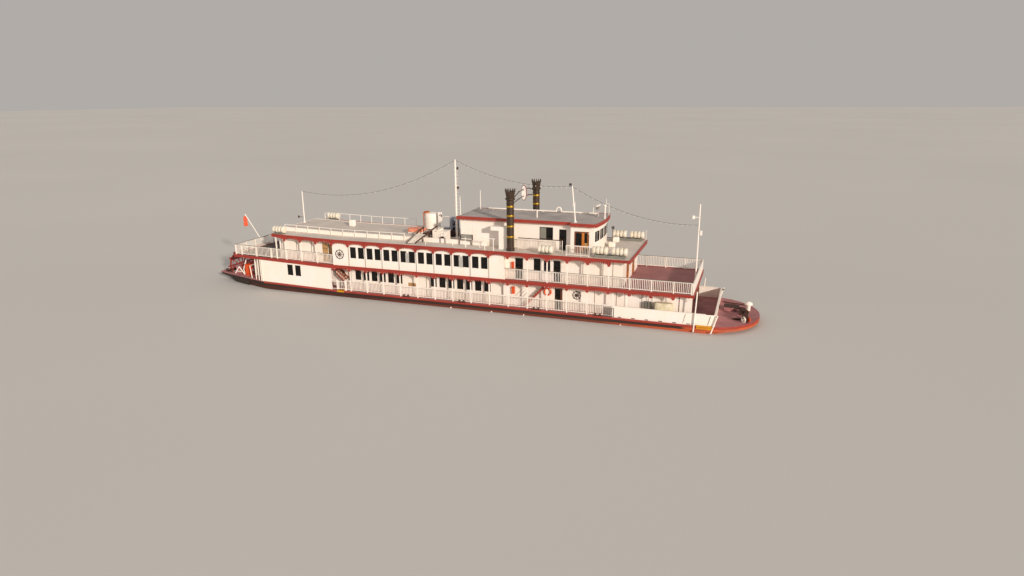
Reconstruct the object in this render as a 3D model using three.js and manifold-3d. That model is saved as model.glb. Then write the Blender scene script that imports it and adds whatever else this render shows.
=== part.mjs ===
// Stern paddle steamer with two passenger decks, built as a 1:2 scale model.
// Sizes are given in full-size metres; MM turns them into the model's millimetres.
// Frame: +X forward, +Y to port, +Z up, origin amidships on the waterline.
import * as THREE from 'three';
import { mergeVertices } from 'three/addons/utils/BufferGeometryUtils.js';
import Module from 'manifold-3d';

const wasm = await Module();
wasm.setup();

// Driving dimensions
const SCALE = 0.5;
const MM = 1000 * SCALE;
const BAY = 1.9; // spacing of the fascia pendants, measured from the aftmost one, number 0
const MIDSHIP = 16.5; // from pendant 0 forward to the origin
const GAP = 0.0008; // between neighbouring pieces, and at a pivot
const RUN = 0.012; // round a piece that moves
const BORE_SIDES = 24;
// A bore whose flats clear a turning shaft of the given radius
const boreFor = (radius) => radius / Math.cos(Math.PI / BORE_SIDES) + GAP;
const HALF_BEAM = 4.84;
const EDGE = 4.79; // half the width of the deck plates, inside the fascia boards
const WALL = 0.08;
const KINK = 2 * BAY; // the decks rise in a straight line aft of here
const RISE = 0.0208;

// Heights above the waterline
const Z = {
  hullTop: 0.6, main: 0.69, upper: 3.33, roof: 5.97, raised: 6.36, house: 8.7,
};
const DRAUGHT = 1.0;
const PLATE = 0.12;
const RAIL_HEIGHT = 1.08;

// Stations along the ship
const X = {
  sternTip: -12.3, wellAft: -11.98, wellFore: -7.62, transom: -7.55, taper: -5.0,
  upperAft: -8.46, upperFore: 39.7, roofAft: -3.4, roofFore: 34.1,
  bowStart: 40.8, bowTip: 45.2,
  sideHouseAft: -5.2, bulwarkAft: 32.8, bulwarkFore: 41.6,
  saloonAft: 5.3, saloonFore: 38.4,
  loungeAft: -2.4, flushEnd: 22.4, loungeFore: 33.4,
  raisedFore: 12.75, deckhouseAft: 17.1, deckhouseFore: 28.3, wheelhouseFore: 30.62,
  wheel: -9.75, funnel: 22.8,
};
const INSET = 3.9; // half-width to the outer face of the walls behind the walkways
const FLUSH = 4.74; // half-width to the outer face of the walls at the deck edge
const WHEEL = {
  z: 1.5, radius: 1.95, halfWidth: 2.6, shaft: 0.14, floats: 12, ring: 0.1, hub: 0.34,
};
const WELL_HALF = 2.78;
const STERN_HALF = 3.05;

const COLOUR = {
  cream: '#f6ead6', red: '#a8392c', deck: '#9b5f58', grey: '#b0a698', tar: '#2c2420',
  strake: '#c8492a', black: '#2a241f', wood: '#6b3b22', orange: '#e2602a',
};

const rise = (x) => RISE * Math.max(0, KINK - x);
const mirrored = (points) => points.map(([x, y]) => [x, -y]).reverse();

// Solids

function toManifold(geometry) {
  const bare = geometry.clone();
  bare.deleteAttribute('normal');
  bare.deleteAttribute('uv');
  const merged = mergeVertices(bare, 1e-3);
  return new wasm.Manifold(new wasm.Mesh({
    numProp: 3,
    vertProperties: new Float32Array(merged.attributes.position.array),
    triVerts: new Uint32Array(merged.index.array),
  }));
}

function toGeometry(manifold) {
  const mesh = manifold.getMesh();
  const geometry = new THREE.BufferGeometry();
  geometry.setAttribute('position', new THREE.BufferAttribute(new Float32Array(mesh.vertProperties), 3));
  geometry.setIndex(new THREE.BufferAttribute(new Uint32Array(mesh.triVerts), 1));
  geometry.computeVertexNormals();
  return geometry;
}

const join = (solids) => solids.reduce((whole, next) => whole.add(next));
const cut = (whole, tools) => tools.reduce((rest, tool) => rest.subtract(tool), whole);

function extruded(points, depth) {
  const outline = new THREE.Shape(points.map(([u, v]) => new THREE.Vector2(u * MM, v * MM)));
  return new THREE.ExtrudeGeometry(outline, { depth: depth * MM, bevelEnabled: false });
}

// A prism of an (x, z) outline between two y values
function prismY(points, y0, y1) {
  const geometry = extruded(points, y1 - y0);
  geometry.rotateX(Math.PI / 2);
  geometry.translate(-MIDSHIP * MM, y1 * MM, 0);
  return toManifold(geometry);
}

// A prism of an (x, y) outline between two heights
function prismZ(points, z0, z1) {
  const geometry = extruded(points, z1 - z0);
  geometry.translate(-MIDSHIP * MM, 0, z0 * MM);
  return toManifold(geometry);
}

// A prism of a (y, z) outline between two stations
function prismX(points, x0, x1) {
  const geometry = extruded(points, x1 - x0);
  geometry.applyMatrix4(new THREE.Matrix4().makeBasis(
    new THREE.Vector3(0, 1, 0), new THREE.Vector3(0, 0, 1), new THREE.Vector3(1, 0, 0),
  ));
  geometry.translate((x0 - MIDSHIP) * MM, 0, 0);
  return toManifold(geometry);
}

const rectangle = (u0, u1, v0, v1) => [[u0, v0], [u1, v0], [u1, v1], [u0, v1]];
const block = (x0, x1, y0, y1, z0, z1) => prismZ(rectangle(x0, x1, y0, y1), z0, z1);

// A board of even depth that follows the decks' rise, from x0 to x1
function slab(x0, x1, y0, y1, z0, z1) {
  const stations = x0 < KINK && x1 > KINK ? [x0, KINK, x1] : [x0, x1];
  const under = stations.map((x) => [x, z0 + rise(x)]);
  const over = stations.map((x) => [x, z1 + rise(x)]).reverse();
  return prismY([...under, ...over], y0, y1);
}

// A round bar between two points, each [x, y, z]
function bar(from, to, radius, sides = 8, endRadius = radius) {
  const a = new THREE.Vector3(from[0] - MIDSHIP, from[1], from[2]).multiplyScalar(MM);
  const b = new THREE.Vector3(to[0] - MIDSHIP, to[1], to[2]).multiplyScalar(MM);
  const geometry = new THREE.CylinderGeometry(endRadius * MM, radius * MM, a.distanceTo(b), sides);
  const turn = new THREE.Quaternion().setFromUnitVectors(
    new THREE.Vector3(0, 1, 0), b.clone().sub(a).normalize(),
  );
  geometry.applyQuaternion(turn);
  geometry.translate((a.x + b.x) / 2, (a.y + b.y) / 2, (a.z + b.z) / 2);
  return toManifold(geometry);
}

// A turned piece: (radius, height) pairs round a vertical axis at x, y
function turned(profile, x, y, sides = 16) {
  const geometry = new THREE.LatheGeometry(
    profile.map(([radius, height]) => new THREE.Vector2(radius * MM, height * MM)), sides,
  );
  geometry.rotateX(Math.PI / 2);
  geometry.translate((x - MIDSHIP) * MM, y * MM, 0);
  return toManifold(geometry);
}

const both = (make) => ({ starboard: make(-1), port: make(1) });
const between = (side, inner, outer) => [inner, outer].map((y) => side * y).sort((low, high) => low - high);

// The group and its nodes

const ship = new THREE.Group();

function add(name, solid, colour, roughness = 0.6, metalness = 0) {
  const material = new THREE.MeshStandardMaterial({ color: colour, roughness, metalness });
  const mesh = new THREE.Mesh(toGeometry(solid), material);
  mesh.name = name;
  ship.add(mesh);
}

function addPair(name, make, colour, roughness, metalness) {
  for (const [label, solid] of Object.entries(both(make))) {
    add(`${name}_${label}`, solid, colour, roughness, metalness);
  }
}

// Plan of the deck: half its width at a station, less an inset all round
function deckHalf(x, inset = 0) {
  if (x < X.taper) {
    const part = (x - X.sternTip) / (X.taper - X.sternTip);
    return STERN_HALF + part * (HALF_BEAM - STERN_HALF) - inset;
  }
  const along = Math.max(0, x - X.bowStart) / (X.bowTip - inset - X.bowStart);
  return (HALF_BEAM - inset) * Math.sqrt(Math.max(0, 1 - along * along));
}

// Hull: sections of six corners, lofted from the transom to the bow
// Columns: station, height of the bottom, half-width at the chine as a share of that at the deck
const HULL_SECTIONS = [
  [X.transom, -0.25, 0.91], [X.taper, -0.5, 0.93], [-1.0, -DRAUGHT, 0.95], [KINK, -DRAUGHT, 0.95],
  [36.0, -DRAUGHT, 0.95], [X.bowStart, -0.75, 0.92], [41.8, -0.42, 0.85], [43.3, -0.1, 0.76],
  [44.3, 0.15, 0.68], [44.95, 0.34, 0.6],
];
const HULL_INSET = 0.12;
const KNUCKLE = 0.68; // of the way up from the bottom to the deck

function hullSolid() {
  const corners = [];
  for (const [x, bottom, chine] of HULL_SECTIONS) {
    const half = deckHalf(x, HULL_INSET);
    const top = Z.hullTop + rise(x) - GAP;
    const knuckle = bottom + KNUCKLE * (top - bottom);
    corners.push(
      [x, -half, top], [x, -half, knuckle], [x, -half * chine, bottom],
      [x, half * chine, bottom], [x, half, knuckle], [x, half, top],
    );
  }
  const ring = 6;
  const faces = [];
  for (let section = 0; section < HULL_SECTIONS.length - 1; section += 1) {
    for (let corner = 0; corner < ring; corner += 1) {
      const a = section * ring + corner;
      const b = section * ring + ((corner + 1) % ring);
      faces.push(a, b, b + ring, a, b + ring, a + ring);
    }
  }
  const last = (HULL_SECTIONS.length - 1) * ring;
  for (let corner = 1; corner < ring - 1; corner += 1) {
    faces.push(0, corner + 1, corner, last, last + corner, last + corner + 1);
  }
  const geometry = new THREE.BufferGeometry();
  const flat = corners.flatMap(([x, y, z]) => [(x - MIDSHIP) * MM, y * MM, z * MM]);
  geometry.setAttribute('position', new THREE.BufferAttribute(new Float32Array(flat), 3));
  geometry.setIndex(faces);
  return toManifold(geometry);
}

// Rudders ahead of the wheel, each on a stock that turns in a trunk in the hull
const RUDDER = { x: -6.4, y: 1.7, stock: 0.09, chordAft: 0.75, chordFore: 0.35, top: -0.5, foot: -0.98 };
const RUDDER_STOCK_TOP = 0.25;

const rudderStock = (side, radius, z0, z1, sides = 12) => bar(
  [RUDDER.x, side * RUDDER.y, z0], [RUDDER.x, side * RUDDER.y, z1], radius, sides,
);
add('hull', cut(hullSolid(), [-1, 1].map(
  (side) => rudderStock(side, boreFor(RUDDER.stock), -1.5, RUDDER_STOCK_TOP + GAP, BORE_SIDES),
)), COLOUR.strake, 0.7);

addPair('rudder', (side) => join([
  rudderStock(side, RUDDER.stock, RUDDER.foot + 0.1, RUDDER_STOCK_TOP),
  prismY([
    [RUDDER.x - RUDDER.chordAft, RUDDER.foot], [RUDDER.x + RUDDER.chordFore, RUDDER.foot],
    [RUDDER.x + RUDDER.chordFore, RUDDER.top], [RUDDER.x - RUDDER.chordAft, RUDDER.top + 0.12],
  ], side * RUDDER.y - 0.05, side * RUDDER.y + 0.05),
]), COLOUR.tar, 0.7);

// Main deck: the whole plan with the wheel well cut out, the two shaft bearings, the hatch and the vent
const BOW_STEPS = 16;

function deckOutline(inset = 0) {
  const half = [[X.sternTip + inset, STERN_HALF - inset], [X.taper, HALF_BEAM - inset]];
  for (let step = 0; step < BOW_STEPS; step += 1) {
    const angle = (Math.PI / 2) * (1 - step / BOW_STEPS);
    half.push([
      X.bowStart + (X.bowTip - X.bowStart - inset) * Math.cos(angle),
      (HALF_BEAM - inset) * Math.sin(angle),
    ]);
  }
  return [...mirrored(half).reverse(), [X.bowTip - inset, 0], ...half.reverse()];
}

const deepBox = (x0, x1) => slab(x0, x1, -6, 6, Z.hullTop, Z.main);
const well = block(X.wellAft, X.wellFore, -WELL_HALF, WELL_HALF, -1, 3);
const guardDeck = (x) => Z.main + rise(x);
const BEARING = { half: 0.3, inner: WELL_HALF + 0.06, outer: WELL_HALF + 0.36, top: WHEEL.z + 0.3 };

const bearing = (side) => cut(
  block(
    X.wheel - BEARING.half, X.wheel + BEARING.half, ...between(side, BEARING.inner, BEARING.outer),
    guardDeck(X.wheel) - 0.05, BEARING.top,
  ),
  [bar([X.wheel, -4, WHEEL.z], [X.wheel, 4, WHEEL.z], boreFor(WHEEL.shaft), BORE_SIDES)],
);
const plan = prismZ(deckOutline(), 0, 2).intersect(deepBox(X.sternTip - 1, X.bowTip + 1));
const hatch = join([
  block(42.1, 42.9, 0.4, 1.3, Z.main - 0.03, Z.main + 0.32),
  block(42.05, 42.95, 0.35, 1.35, Z.main + 0.28, Z.main + 0.38),
]);
const mushroomVent = turned([
  [0, Z.main - 0.03], [0.17, Z.main - 0.03], [0.17, Z.main + 0.55], [0.34, Z.main + 0.55],
  [0.34, Z.main + 0.62], [0.2, Z.main + 0.78], [0, Z.main + 0.8],
], 44.2, 1.25, 14);
add('main_deck', join([
  plan.subtract(well), bearing(-1), bearing(1), hatch, mushroomVent,
]), COLOUR.deck, 0.75);

// Wheel guard: the beams round the wheel, under the deck, deep at the transom and shallow at the stern
// Columns: station, height of the underside
const GUARD_UNDERSIDE = [[X.transom - GAP, 0.1], [-9.7, 0.18], [-11.0, 0.6], [X.sternTip - 1, 0.82]];
const guardTop = [X.sternTip - 1, X.transom - GAP].map((x) => [x, Z.hullTop - GAP + rise(x)]);
const guardPlan = prismZ(deckOutline(0.05), -1, 2)
  .intersect(prismY([...[...GUARD_UNDERSIDE].reverse(), ...[...guardTop].reverse()], -6, 6));
add('wheel_guard', guardPlan.subtract(well), COLOUR.tar, 0.7);

// Rubbing strake: a dark timber band along both sides and round the bow
const STRAKE = { low: 0.28, high: 0.5, proud: 0.03, aft: X.transom + 0.1 };
const hullHalf = HULL_SECTIONS.map(([x]) => [x, deckHalf(x, HULL_INSET) + GAP]);
const hullPlan = [[X.transom - 1, hullHalf[0][1]], ...hullHalf.slice(1)];
hullPlan[hullPlan.length - 1][0] += GAP;
add('rubbing_strake', prismZ(deckOutline(-STRAKE.proud), STRAKE.low - 0.4, STRAKE.high + 0.6)
  .intersect(slab(STRAKE.aft, X.bowTip + 1, -6, 6, STRAKE.low, STRAKE.high))
  .subtract(prismZ(
    [...mirrored(hullPlan).reverse(), ...[...hullPlan].reverse()], STRAKE.low - 1, STRAKE.high + 1,
  )),
COLOUR.tar, 0.7);

// Paddle wheel: a shaft with three spoked rings that carry the floats
const RING_PLACES = [-2.35, 0, 2.35];

// A ring with one corner at each spoke, between two y values
function wheelRing(y, outer, inner, half) {
  const corner = (radius, index) => {
    const angle = (2 * Math.PI * index) / WHEEL.floats;
    return [X.wheel + radius * Math.sin(angle), WHEEL.z + radius * Math.cos(angle)];
  };
  const corners = Array.from({ length: WHEEL.floats }, (unused, index) => index);
  const disc = (radius, width) => prismY(
    corners.map((index) => corner(radius, index)).reverse(), y - width, y + width,
  );
  return inner ? disc(outer, half).subtract(disc(inner, 2 * half)) : disc(outer, half);
}

function wheelSolid() {
  const axleEnd = BEARING.outer + 0.05;
  const parts = [
    bar([X.wheel, -axleEnd, WHEEL.z], [X.wheel, axleEnd, WHEEL.z], WHEEL.shaft, 12),
    ...RING_PLACES.flatMap((y) => [
      wheelRing(y, WHEEL.hub, 0, WHEEL.ring * 0.8),
      wheelRing(y, WHEEL.radius - 0.1, WHEEL.radius - 0.26, WHEEL.ring / 2),
    ]),
  ];
  const atSpoke = (index, solid) => solid
    .translate([-(X.wheel - MIDSHIP) * MM, 0, -WHEEL.z * MM])
    .rotate([0, (360 * index) / WHEEL.floats, 0])
    .translate([(X.wheel - MIDSHIP) * MM, 0, WHEEL.z * MM]);
  for (let index = 0; index < WHEEL.floats; index += 1) {
    for (const y of RING_PLACES) {
      parts.push(atSpoke(index, block(
        X.wheel - 0.045, X.wheel + 0.045, y - 0.035, y + 0.035, WHEEL.z + 0.2, WHEEL.z + WHEEL.radius - 0.15,
      )));
    }
    parts.push(atSpoke(index, block(
      X.wheel - 0.03, X.wheel + 0.03, -WHEEL.halfWidth, WHEEL.halfWidth,
      WHEEL.z + WHEEL.radius - 0.48, WHEEL.z + WHEEL.radius,
    )));
  }
  return join(parts);
}
add('paddle_wheel', wheelSolid(), COLOUR.red, 0.7);

// Bow bulwark: both sides follow the deck edge, and a board crosses the deck between them
const BULWARK = { height: 1.02, thick: 0.07, inset: 0.1 };
const bulwarkHeights = [Z.main + GAP, Z.main + BULWARK.height];
add('bow_bulwark', prismZ(deckOutline(BULWARK.inset), ...bulwarkHeights)
  .subtract(prismZ(deckOutline(BULWARK.inset + BULWARK.thick), ...bulwarkHeights))
  .add(
    block(X.bulwarkFore - BULWARK.thick, X.bulwarkFore, -6, 6, ...bulwarkHeights)
      .intersect(prismZ(deckOutline(BULWARK.inset), 0, 4)),
  )
  .intersect(block(X.bulwarkAft, X.bulwarkFore, -6, 6, 0, 4)), COLOUR.cream);

// Anchor windlass on the foredeck
const WINDLASS = { x: 44.0, y0: -2.55, y1: -1.4, axle: 0.55 };
add('windlass', join([
  block(WINDLASS.x - 0.25, WINDLASS.x + 0.25, WINDLASS.y0, WINDLASS.y1, Z.main + GAP, Z.main + 0.2),
  ...[WINDLASS.y0 + 0.05, WINDLASS.y1 - 0.2].map((y) => block(
    WINDLASS.x - 0.15, WINDLASS.x + 0.15, y, y + 0.15, Z.main + 0.1, Z.main + 0.75,
  )),
  bar(
    [WINDLASS.x, WINDLASS.y0 - 0.2, Z.main + WINDLASS.axle],
    [WINDLASS.x, WINDLASS.y1 + 0.2, Z.main + WINDLASS.axle], 0.16, 8,
  ),
  ...[WINDLASS.y0 - 0.15, WINDLASS.y1].map((y) => bar(
    [WINDLASS.x, y, Z.main + WINDLASS.axle], [WINDLASS.x, y + 0.15, Z.main + WINDLASS.axle], 0.28, 8,
  )),
]), COLOUR.cream);

// Decks above: plates that follow the rise. The roof carries two low boards amidships.
const RAISED_HALF = 2.75;
add('upper_deck', slab(X.upperAft, X.upperFore, -EDGE, EDGE, Z.upper - PLATE, Z.upper), COLOUR.deck, 0.75);
add('roof_deck', join([
  slab(X.roofAft, X.roofFore, -EDGE, EDGE, Z.roof - PLATE, Z.roof),
  ...[-1, 1].map((side) => block(
    13.2, 20.0, ...between(side, RAISED_HALF - 0.08, RAISED_HALF), Z.roof - 0.05, Z.raised,
  )),
]), COLOUR.grey, 0.8);

// Fascia boards: a band with an arch in every bay and a pendant at every bay line
const FASCIA = { band: 0.26, pendant: 0.6, tip: 0.11, shoulder: 0.2, steps: 6, over: 0.03 };

function fascia(side, x0, x1, top, firstPendant, lastPendant, drop) {
  const under = [];
  const z = (x, depth) => top + FASCIA.over + rise(x) - depth;
  under.push([x0, z(x0, FASCIA.band)]);
  if (x0 < KINK && firstPendant * BAY > KINK) {
    under.push([KINK, z(KINK, FASCIA.band)]);
  }
  for (let pendant = firstPendant; pendant <= lastPendant; pendant += 1) {
    const x = pendant * BAY;
    const spring = FASCIA.band + 0.5 * (drop - FASCIA.band);
    if (pendant > firstPendant) {
      const from = (pendant - 1) * BAY + FASCIA.shoulder;
      const to = x - FASCIA.shoulder;
      const middle = (from + to) / 2;
      for (let step = 0; step <= FASCIA.steps; step += 1) {
        const angle = Math.PI * (1 - step / FASCIA.steps);
        const along = middle + ((to - from) / 2) * Math.cos(angle);
        under.push([along, z(along, spring - (spring - FASCIA.band) * Math.sin(angle))]);
      }
    } else {
      under.push([x - FASCIA.shoulder, z(x - FASCIA.shoulder, spring)]);
    }
    under.push([x - FASCIA.tip, z(x, drop)], [x + FASCIA.tip, z(x, drop)]);
  }
  const last = lastPendant * BAY + FASCIA.shoulder;
  if (last < x1) {
    under.push([last, z(last, FASCIA.band)], [x1, z(x1, FASCIA.band)]);
  }
  const over = [[x1, z(x1, 0)], ...(x0 < KINK ? [[KINK, z(KINK, 0)]] : []), [x0, z(x0, 0)]];
  return prismY([...under, ...over], ...between(side, EDGE + GAP, HALF_BEAM));
}
addPair('upper_fascia', (side) => fascia(side, X.upperAft, X.upperFore, Z.upper, 2, 20, 0.5), COLOUR.red);
addPair('roof_fascia', (side) => fascia(
  side, X.roofAft, X.roofFore, Z.roof, -1, 17, FASCIA.pendant,
), COLOUR.red);

// Walls of the two passenger decks, between the plates
const storey = (floor, ceiling) => [floor + GAP, ceiling - PLATE - GAP];
const LOWER = storey(Z.main, Z.upper);
const UPPER = storey(Z.upper, Z.roof);
const WINDOW = { width: 0.6, lowerSill: 1.08, upperSill: 0.9, height: 1.08 };

const opening = (x0, x1, floor, sill, height) => slab(x0, x1, -6, 6, floor + sill, floor + sill + height);
const windowAt = (centre, floor, sill) => opening(
  centre - WINDOW.width / 2, centre + WINDOW.width / 2, floor, sill, WINDOW.height,
);
const doorway = (x0, x1, floor) => opening(x0, x1, floor, -0.05, 2.0);

// Side houses flush with the deck edge, aft of the first bays
const AFT_WINDOWS = [-1.55, -0.58];
const HOUSE_END = KINK - 0.35;
addPair('aft_house_side', (side) => cut(join([
  slab(X.sideHouseAft, HOUSE_END, ...between(side, FLUSH - WALL, FLUSH), ...LOWER),
  block(4.03, 4.13, ...between(side, 4.65, 4.75), Z.main + GAP + rise(4.03), Z.main + 1.08),
  ...[0.12, 1.03].map((low) => block(
    HOUSE_END - 0.05, 4.1, ...between(side, 4.67, 4.73), Z.main + low, Z.main + low + 0.05,
  )),
]), AFT_WINDOWS.map((x) => windowAt(x, Z.main, 1.05))), COLOUR.cream);

// The engine house closes the aft end and stands proud of it towards the wheel
add('aft_house_end', cut(join([
  slab(X.sideHouseAft, X.sideHouseAft + WALL, -FLUSH + WALL + GAP, FLUSH - WALL - GAP, ...LOWER),
  ...[-1, 1].map((side) => slab(
    X.transom - 0.02, X.sideHouseAft + WALL, ...between(side, 2.95, 3.03), ...LOWER,
  )),
  slab(X.transom - 0.02, X.transom + 0.06, -3.03, 3.03, ...LOWER),
]), [slab(X.sideHouseAft - 0.1, X.sideHouseAft + 0.2, -2.0, 2.0, Z.main - 0.1, Z.main + 2.0)]), COLOUR.cream);

add('engine_block', block(-3.9, -1.3, -1.3, 1.3, Z.main + rise(-3.9) + GAP, Z.main + 1.5), COLOUR.black);

// Saloon walls behind the walkways of the main deck
const LOWER_WINDOWS = [3.5, 4, 4.5, 5, 5.5, 6, 8, 8.5, 9, 9.5, 10, 10.5, 11];
// The windows stand aft of the posts of the rail outside, by this much
const LOWER_SETBACK = 0.5;
const LOWER_DOORS = [[27.15, 27.85]];
add('saloon_walls', cut(join([
  ...[-1, 1].map((side) => slab(X.saloonAft, X.saloonFore, ...between(side, INSET - WALL, INSET), ...LOWER)),
  slab(X.saloonAft, X.saloonAft + WALL, -INSET, INSET, ...LOWER),
]), [
  ...LOWER_WINDOWS.map((bay) => windowAt(bay * BAY - LOWER_SETBACK, Z.main, WINDOW.lowerSill)),
  ...LOWER_DOORS.map(([x0, x1]) => doorway(x0, x1, Z.main)),
  block(X.saloonAft - 1, X.saloonAft + 1, -0.5, 0.5, 0, Z.main + 2.0),
]), COLOUR.cream);
add('saloon_front', cut(
  slab(X.saloonFore + GAP, X.saloonFore + WALL, -INSET, INSET, ...LOWER),
  [-1.6, 1.6].map((y) => block(X.saloonFore - 1, X.saloonFore + 1, y - 0.55, y + 0.55, 0, Z.main + 2.0)),
), COLOUR.wood);

// Upper deck: a set-back lounge aft, a flush middle with paired windows, and a veranda forward
const LOUNGE = 3.95;
const PAIR_BAYS = [3, 4, 5, 6, 7, 8, 9, 10];
const PAIR_PLACES = [0.285, 0.765];
add('aft_lounge_walls', cut(join([
  ...[-1, 1].map((side) => slab(X.loungeAft, KINK - GAP, ...between(side, LOUNGE - WALL, LOUNGE), ...UPPER)),
  slab(X.loungeAft, X.loungeAft + WALL, -LOUNGE, LOUNGE, ...UPPER),
]), [
  slab(X.loungeAft - 0.1, X.loungeAft + 0.2, -0.8, 0.8, Z.upper - 0.1, Z.upper + 2.0),
  doorway(2.85, 3.55, Z.upper),
]), COLOUR.cream);
addPair('middle_lounge_side', (side) => cut(join([
  block(KINK, X.flushEnd, ...between(side, FLUSH - WALL, FLUSH), ...UPPER),
  block(KINK, KINK + WALL, ...between(side, LOUNGE - WALL, FLUSH), ...UPPER),
  block(X.flushEnd - WALL, X.flushEnd, ...between(side, INSET - WALL, FLUSH), ...UPPER),
]), PAIR_BAYS.flatMap((bay) => PAIR_PLACES.map(
  (part) => windowAt((bay + part) * BAY, Z.upper, WINDOW.upperSill),
))),
COLOUR.cream);
// Columns: aft edge, forward edge, sill above the deck, height
const VERANDA_OPENINGS = [
  [23.27, 24.0, -0.05, 2.0], [25.1, 25.68, 0.95, 1.05], [26.08, 26.64, 0.95, 1.05], [27.0, 27.6, -0.05, 2.0],
];
add('forward_lounge_walls', cut(join([
  ...[-1, 1].map((side) => block(
    X.flushEnd + GAP, X.loungeFore, ...between(side, INSET - WALL, INSET), ...UPPER,
  )),
  block(X.loungeFore - WALL, X.loungeFore, -INSET, INSET, ...UPPER),
]), [
  ...VERANDA_OPENINGS.map(([x0, x1, sill, height]) => opening(x0, x1, Z.upper, sill, height)),
  ...[-1.5, 1.5].map((y) => block(
    X.loungeFore - 1, X.loungeFore + 1, y - 0.6, y + 0.6, Z.upper - 0.1, Z.upper + 2.0,
  )),
]), COLOUR.cream);

// Railings: posts, a top and a foot rail, and a few of the balusters, joined in one piece
const RAIL = { half: 4.7, post: 0.05, rail: 0.03, foot: 0.12, perBay: 2 };

function railing(side, x0, x1, floor, ceiling, posts, half = RAIL.half) {
  const y = side * half;
  const from = floor + GAP;
  const parts = [
    slab(x0, x1, y - RAIL.rail, y + RAIL.rail, floor + RAIL_HEIGHT - 0.05, floor + RAIL_HEIGHT),
    slab(x0, x1, y - RAIL.rail, y + RAIL.rail, floor + RAIL.foot, floor + RAIL.foot + 0.05),
  ];
  for (const [x, full] of posts) {
    const top = full ? ceiling - PLATE - GAP : floor + RAIL_HEIGHT;
    parts.push(block(
      x - RAIL.post, x + RAIL.post, y - RAIL.post, y + RAIL.post,
      from + rise(x - RAIL.post), top + rise(x + RAIL.post),
    ));
  }
  const pitch = BAY / RAIL.perBay;
  for (let step = Math.ceil((x0 + 0.05) / pitch); step * pitch < x1 - 0.05; step += 1) {
    const x = step * pitch;
    parts.push(block(
      x - 0.015, x + 0.015, y - 0.015, y + 0.015,
      floor + RAIL.foot + 0.02 + rise(x), floor + RAIL_HEIGHT - 0.02 + rise(x),
    ));
  }
  return join(parts);
}

const bays = (first, last) => Array.from(
  { length: last - first + 1 }, (unused, index) => (first + index) * BAY,
);
const GATE = { aft: 4.15, fore: 5.05, pivot: 4.98, foot: 0.1, head: 1.0 };
// Each gate's pivot post turns between two arms on the rail's end post
const PIVOT_ARMS = [[0.02, GATE.foot - GAP], [GATE.head + GAP, RAIL_HEIGHT]];
const pivotArms = (side) => PIVOT_ARMS.map(([low, high]) => block(
  GATE.pivot - 0.04, GATE.fore + RAIL.post, side * RAIL.half - 0.04, side * RAIL.half + 0.04,
  Z.main + low, Z.main + high,
));
addPair('main_deck_rail', (side) => join([
  railing(
    side, GATE.fore, X.bulwarkAft - GAP, Z.main, Z.upper,
    [
      [GATE.fore + RAIL.post, false], ...bays(3, 16).map((x) => [x, true]),
      [X.bulwarkAft - RAIL.post - GAP, true],
    ],
  ),
  ...pivotArms(side),
]), COLOUR.cream);

function gateSolid(side) {
  const y = side * RAIL.half;
  const upright = (x, half, low, high) => block(
    x - half, x + half, y - half, y + half, Z.main + low, Z.main + high,
  );
  const across = (low) => block(
    GATE.aft + RUN, GATE.pivot, y - RAIL.rail, y + RAIL.rail, Z.main + low, Z.main + low + 0.06,
  );
  return join([
    bar([GATE.pivot, y, Z.main + GATE.foot], [GATE.pivot, y, Z.main + GATE.head], 0.04, 10),
    across(GATE.foot + 0.05),
    across(GATE.head - 0.1),
    upright(GATE.aft + RUN + 0.04, 0.04, GATE.foot, GATE.head),
    ...[0.2, 0.4, 0.6].map((step) => upright(GATE.aft + step, 0.015, GATE.foot + 0.07, GATE.head - 0.06)),
  ]);
}
addPair('boarding_gate', gateSolid, COLOUR.cream);
addPair('upper_rail', (side) => railing(
  side, X.flushEnd + GAP, X.upperFore - 0.12, Z.upper, Z.roof,
  [
    [X.flushEnd + GAP + RAIL.post, false], ...bays(13, 17).map((x) => [x, true]),
    ...bays(18, 20).map((x) => [x, false]), [X.upperFore - 0.18, false],
  ],
), COLOUR.cream);
add('upper_front_bulwark', block(
  X.upperFore - 0.1, X.upperFore - 0.02, -EDGE, EDGE, Z.upper + GAP, Z.upper + RAIL_HEIGHT,
), COLOUR.cream);

// Aft rail: both sides of the after deck and the stern rail, with a post under each roof corner
function aftRail() {
  const side = (sign) => railing(
    sign, X.upperAft + 0.03, KINK - GAP, Z.upper, Z.roof,
    [
      [X.upperAft + 0.08, false], ...bays(-4, 1).map((x) => [x, x > X.roofAft + 0.4]),
      [X.roofAft + 0.35, true],
    ],
  );
  const x = X.upperAft + 0.08;
  const base = Z.upper + rise(x - RAIL.post);
  const cross = [
    block(x - RAIL.rail, x + RAIL.rail, -RAIL.half, RAIL.half, base + RAIL_HEIGHT - 0.05, base + RAIL_HEIGHT),
    block(x - RAIL.rail, x + RAIL.rail, -RAIL.half, RAIL.half, base + RAIL.foot, base + RAIL.foot + 0.05),
  ];
  for (const y of [-3, -1.5, 0, 1.5, 3]) {
    cross.push(block(x - 0.04, x + 0.04, y - 0.04, y + 0.04, base + GAP, base + RAIL_HEIGHT - 0.02));
  }
  return join([side(-1), side(1), ...cross]);
}
add('after_deck_rail', aftRail(), COLOUR.cream);

// Raised trunk on the after part of the roof
add('raised_roof', slab(
  X.roofAft + 0.15, X.raisedFore, -RAISED_HALF, RAISED_HALF, Z.roof + GAP, Z.raised,
), COLOUR.grey, 0.8);

// Deckhouse and wheelhouse
const DECKHOUSE = { half: 2.45, roofHalf: 2.72 };
const WHEELHOUSE = {
  half: 3.0, roofHalf: 3.22, overhang: 0.19, bow: 0.3, sill: 1.05, glass: 0.88, pane: 0.52,
};
const HOUSE = [Z.roof + GAP, Z.house - PLATE - GAP];
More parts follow.
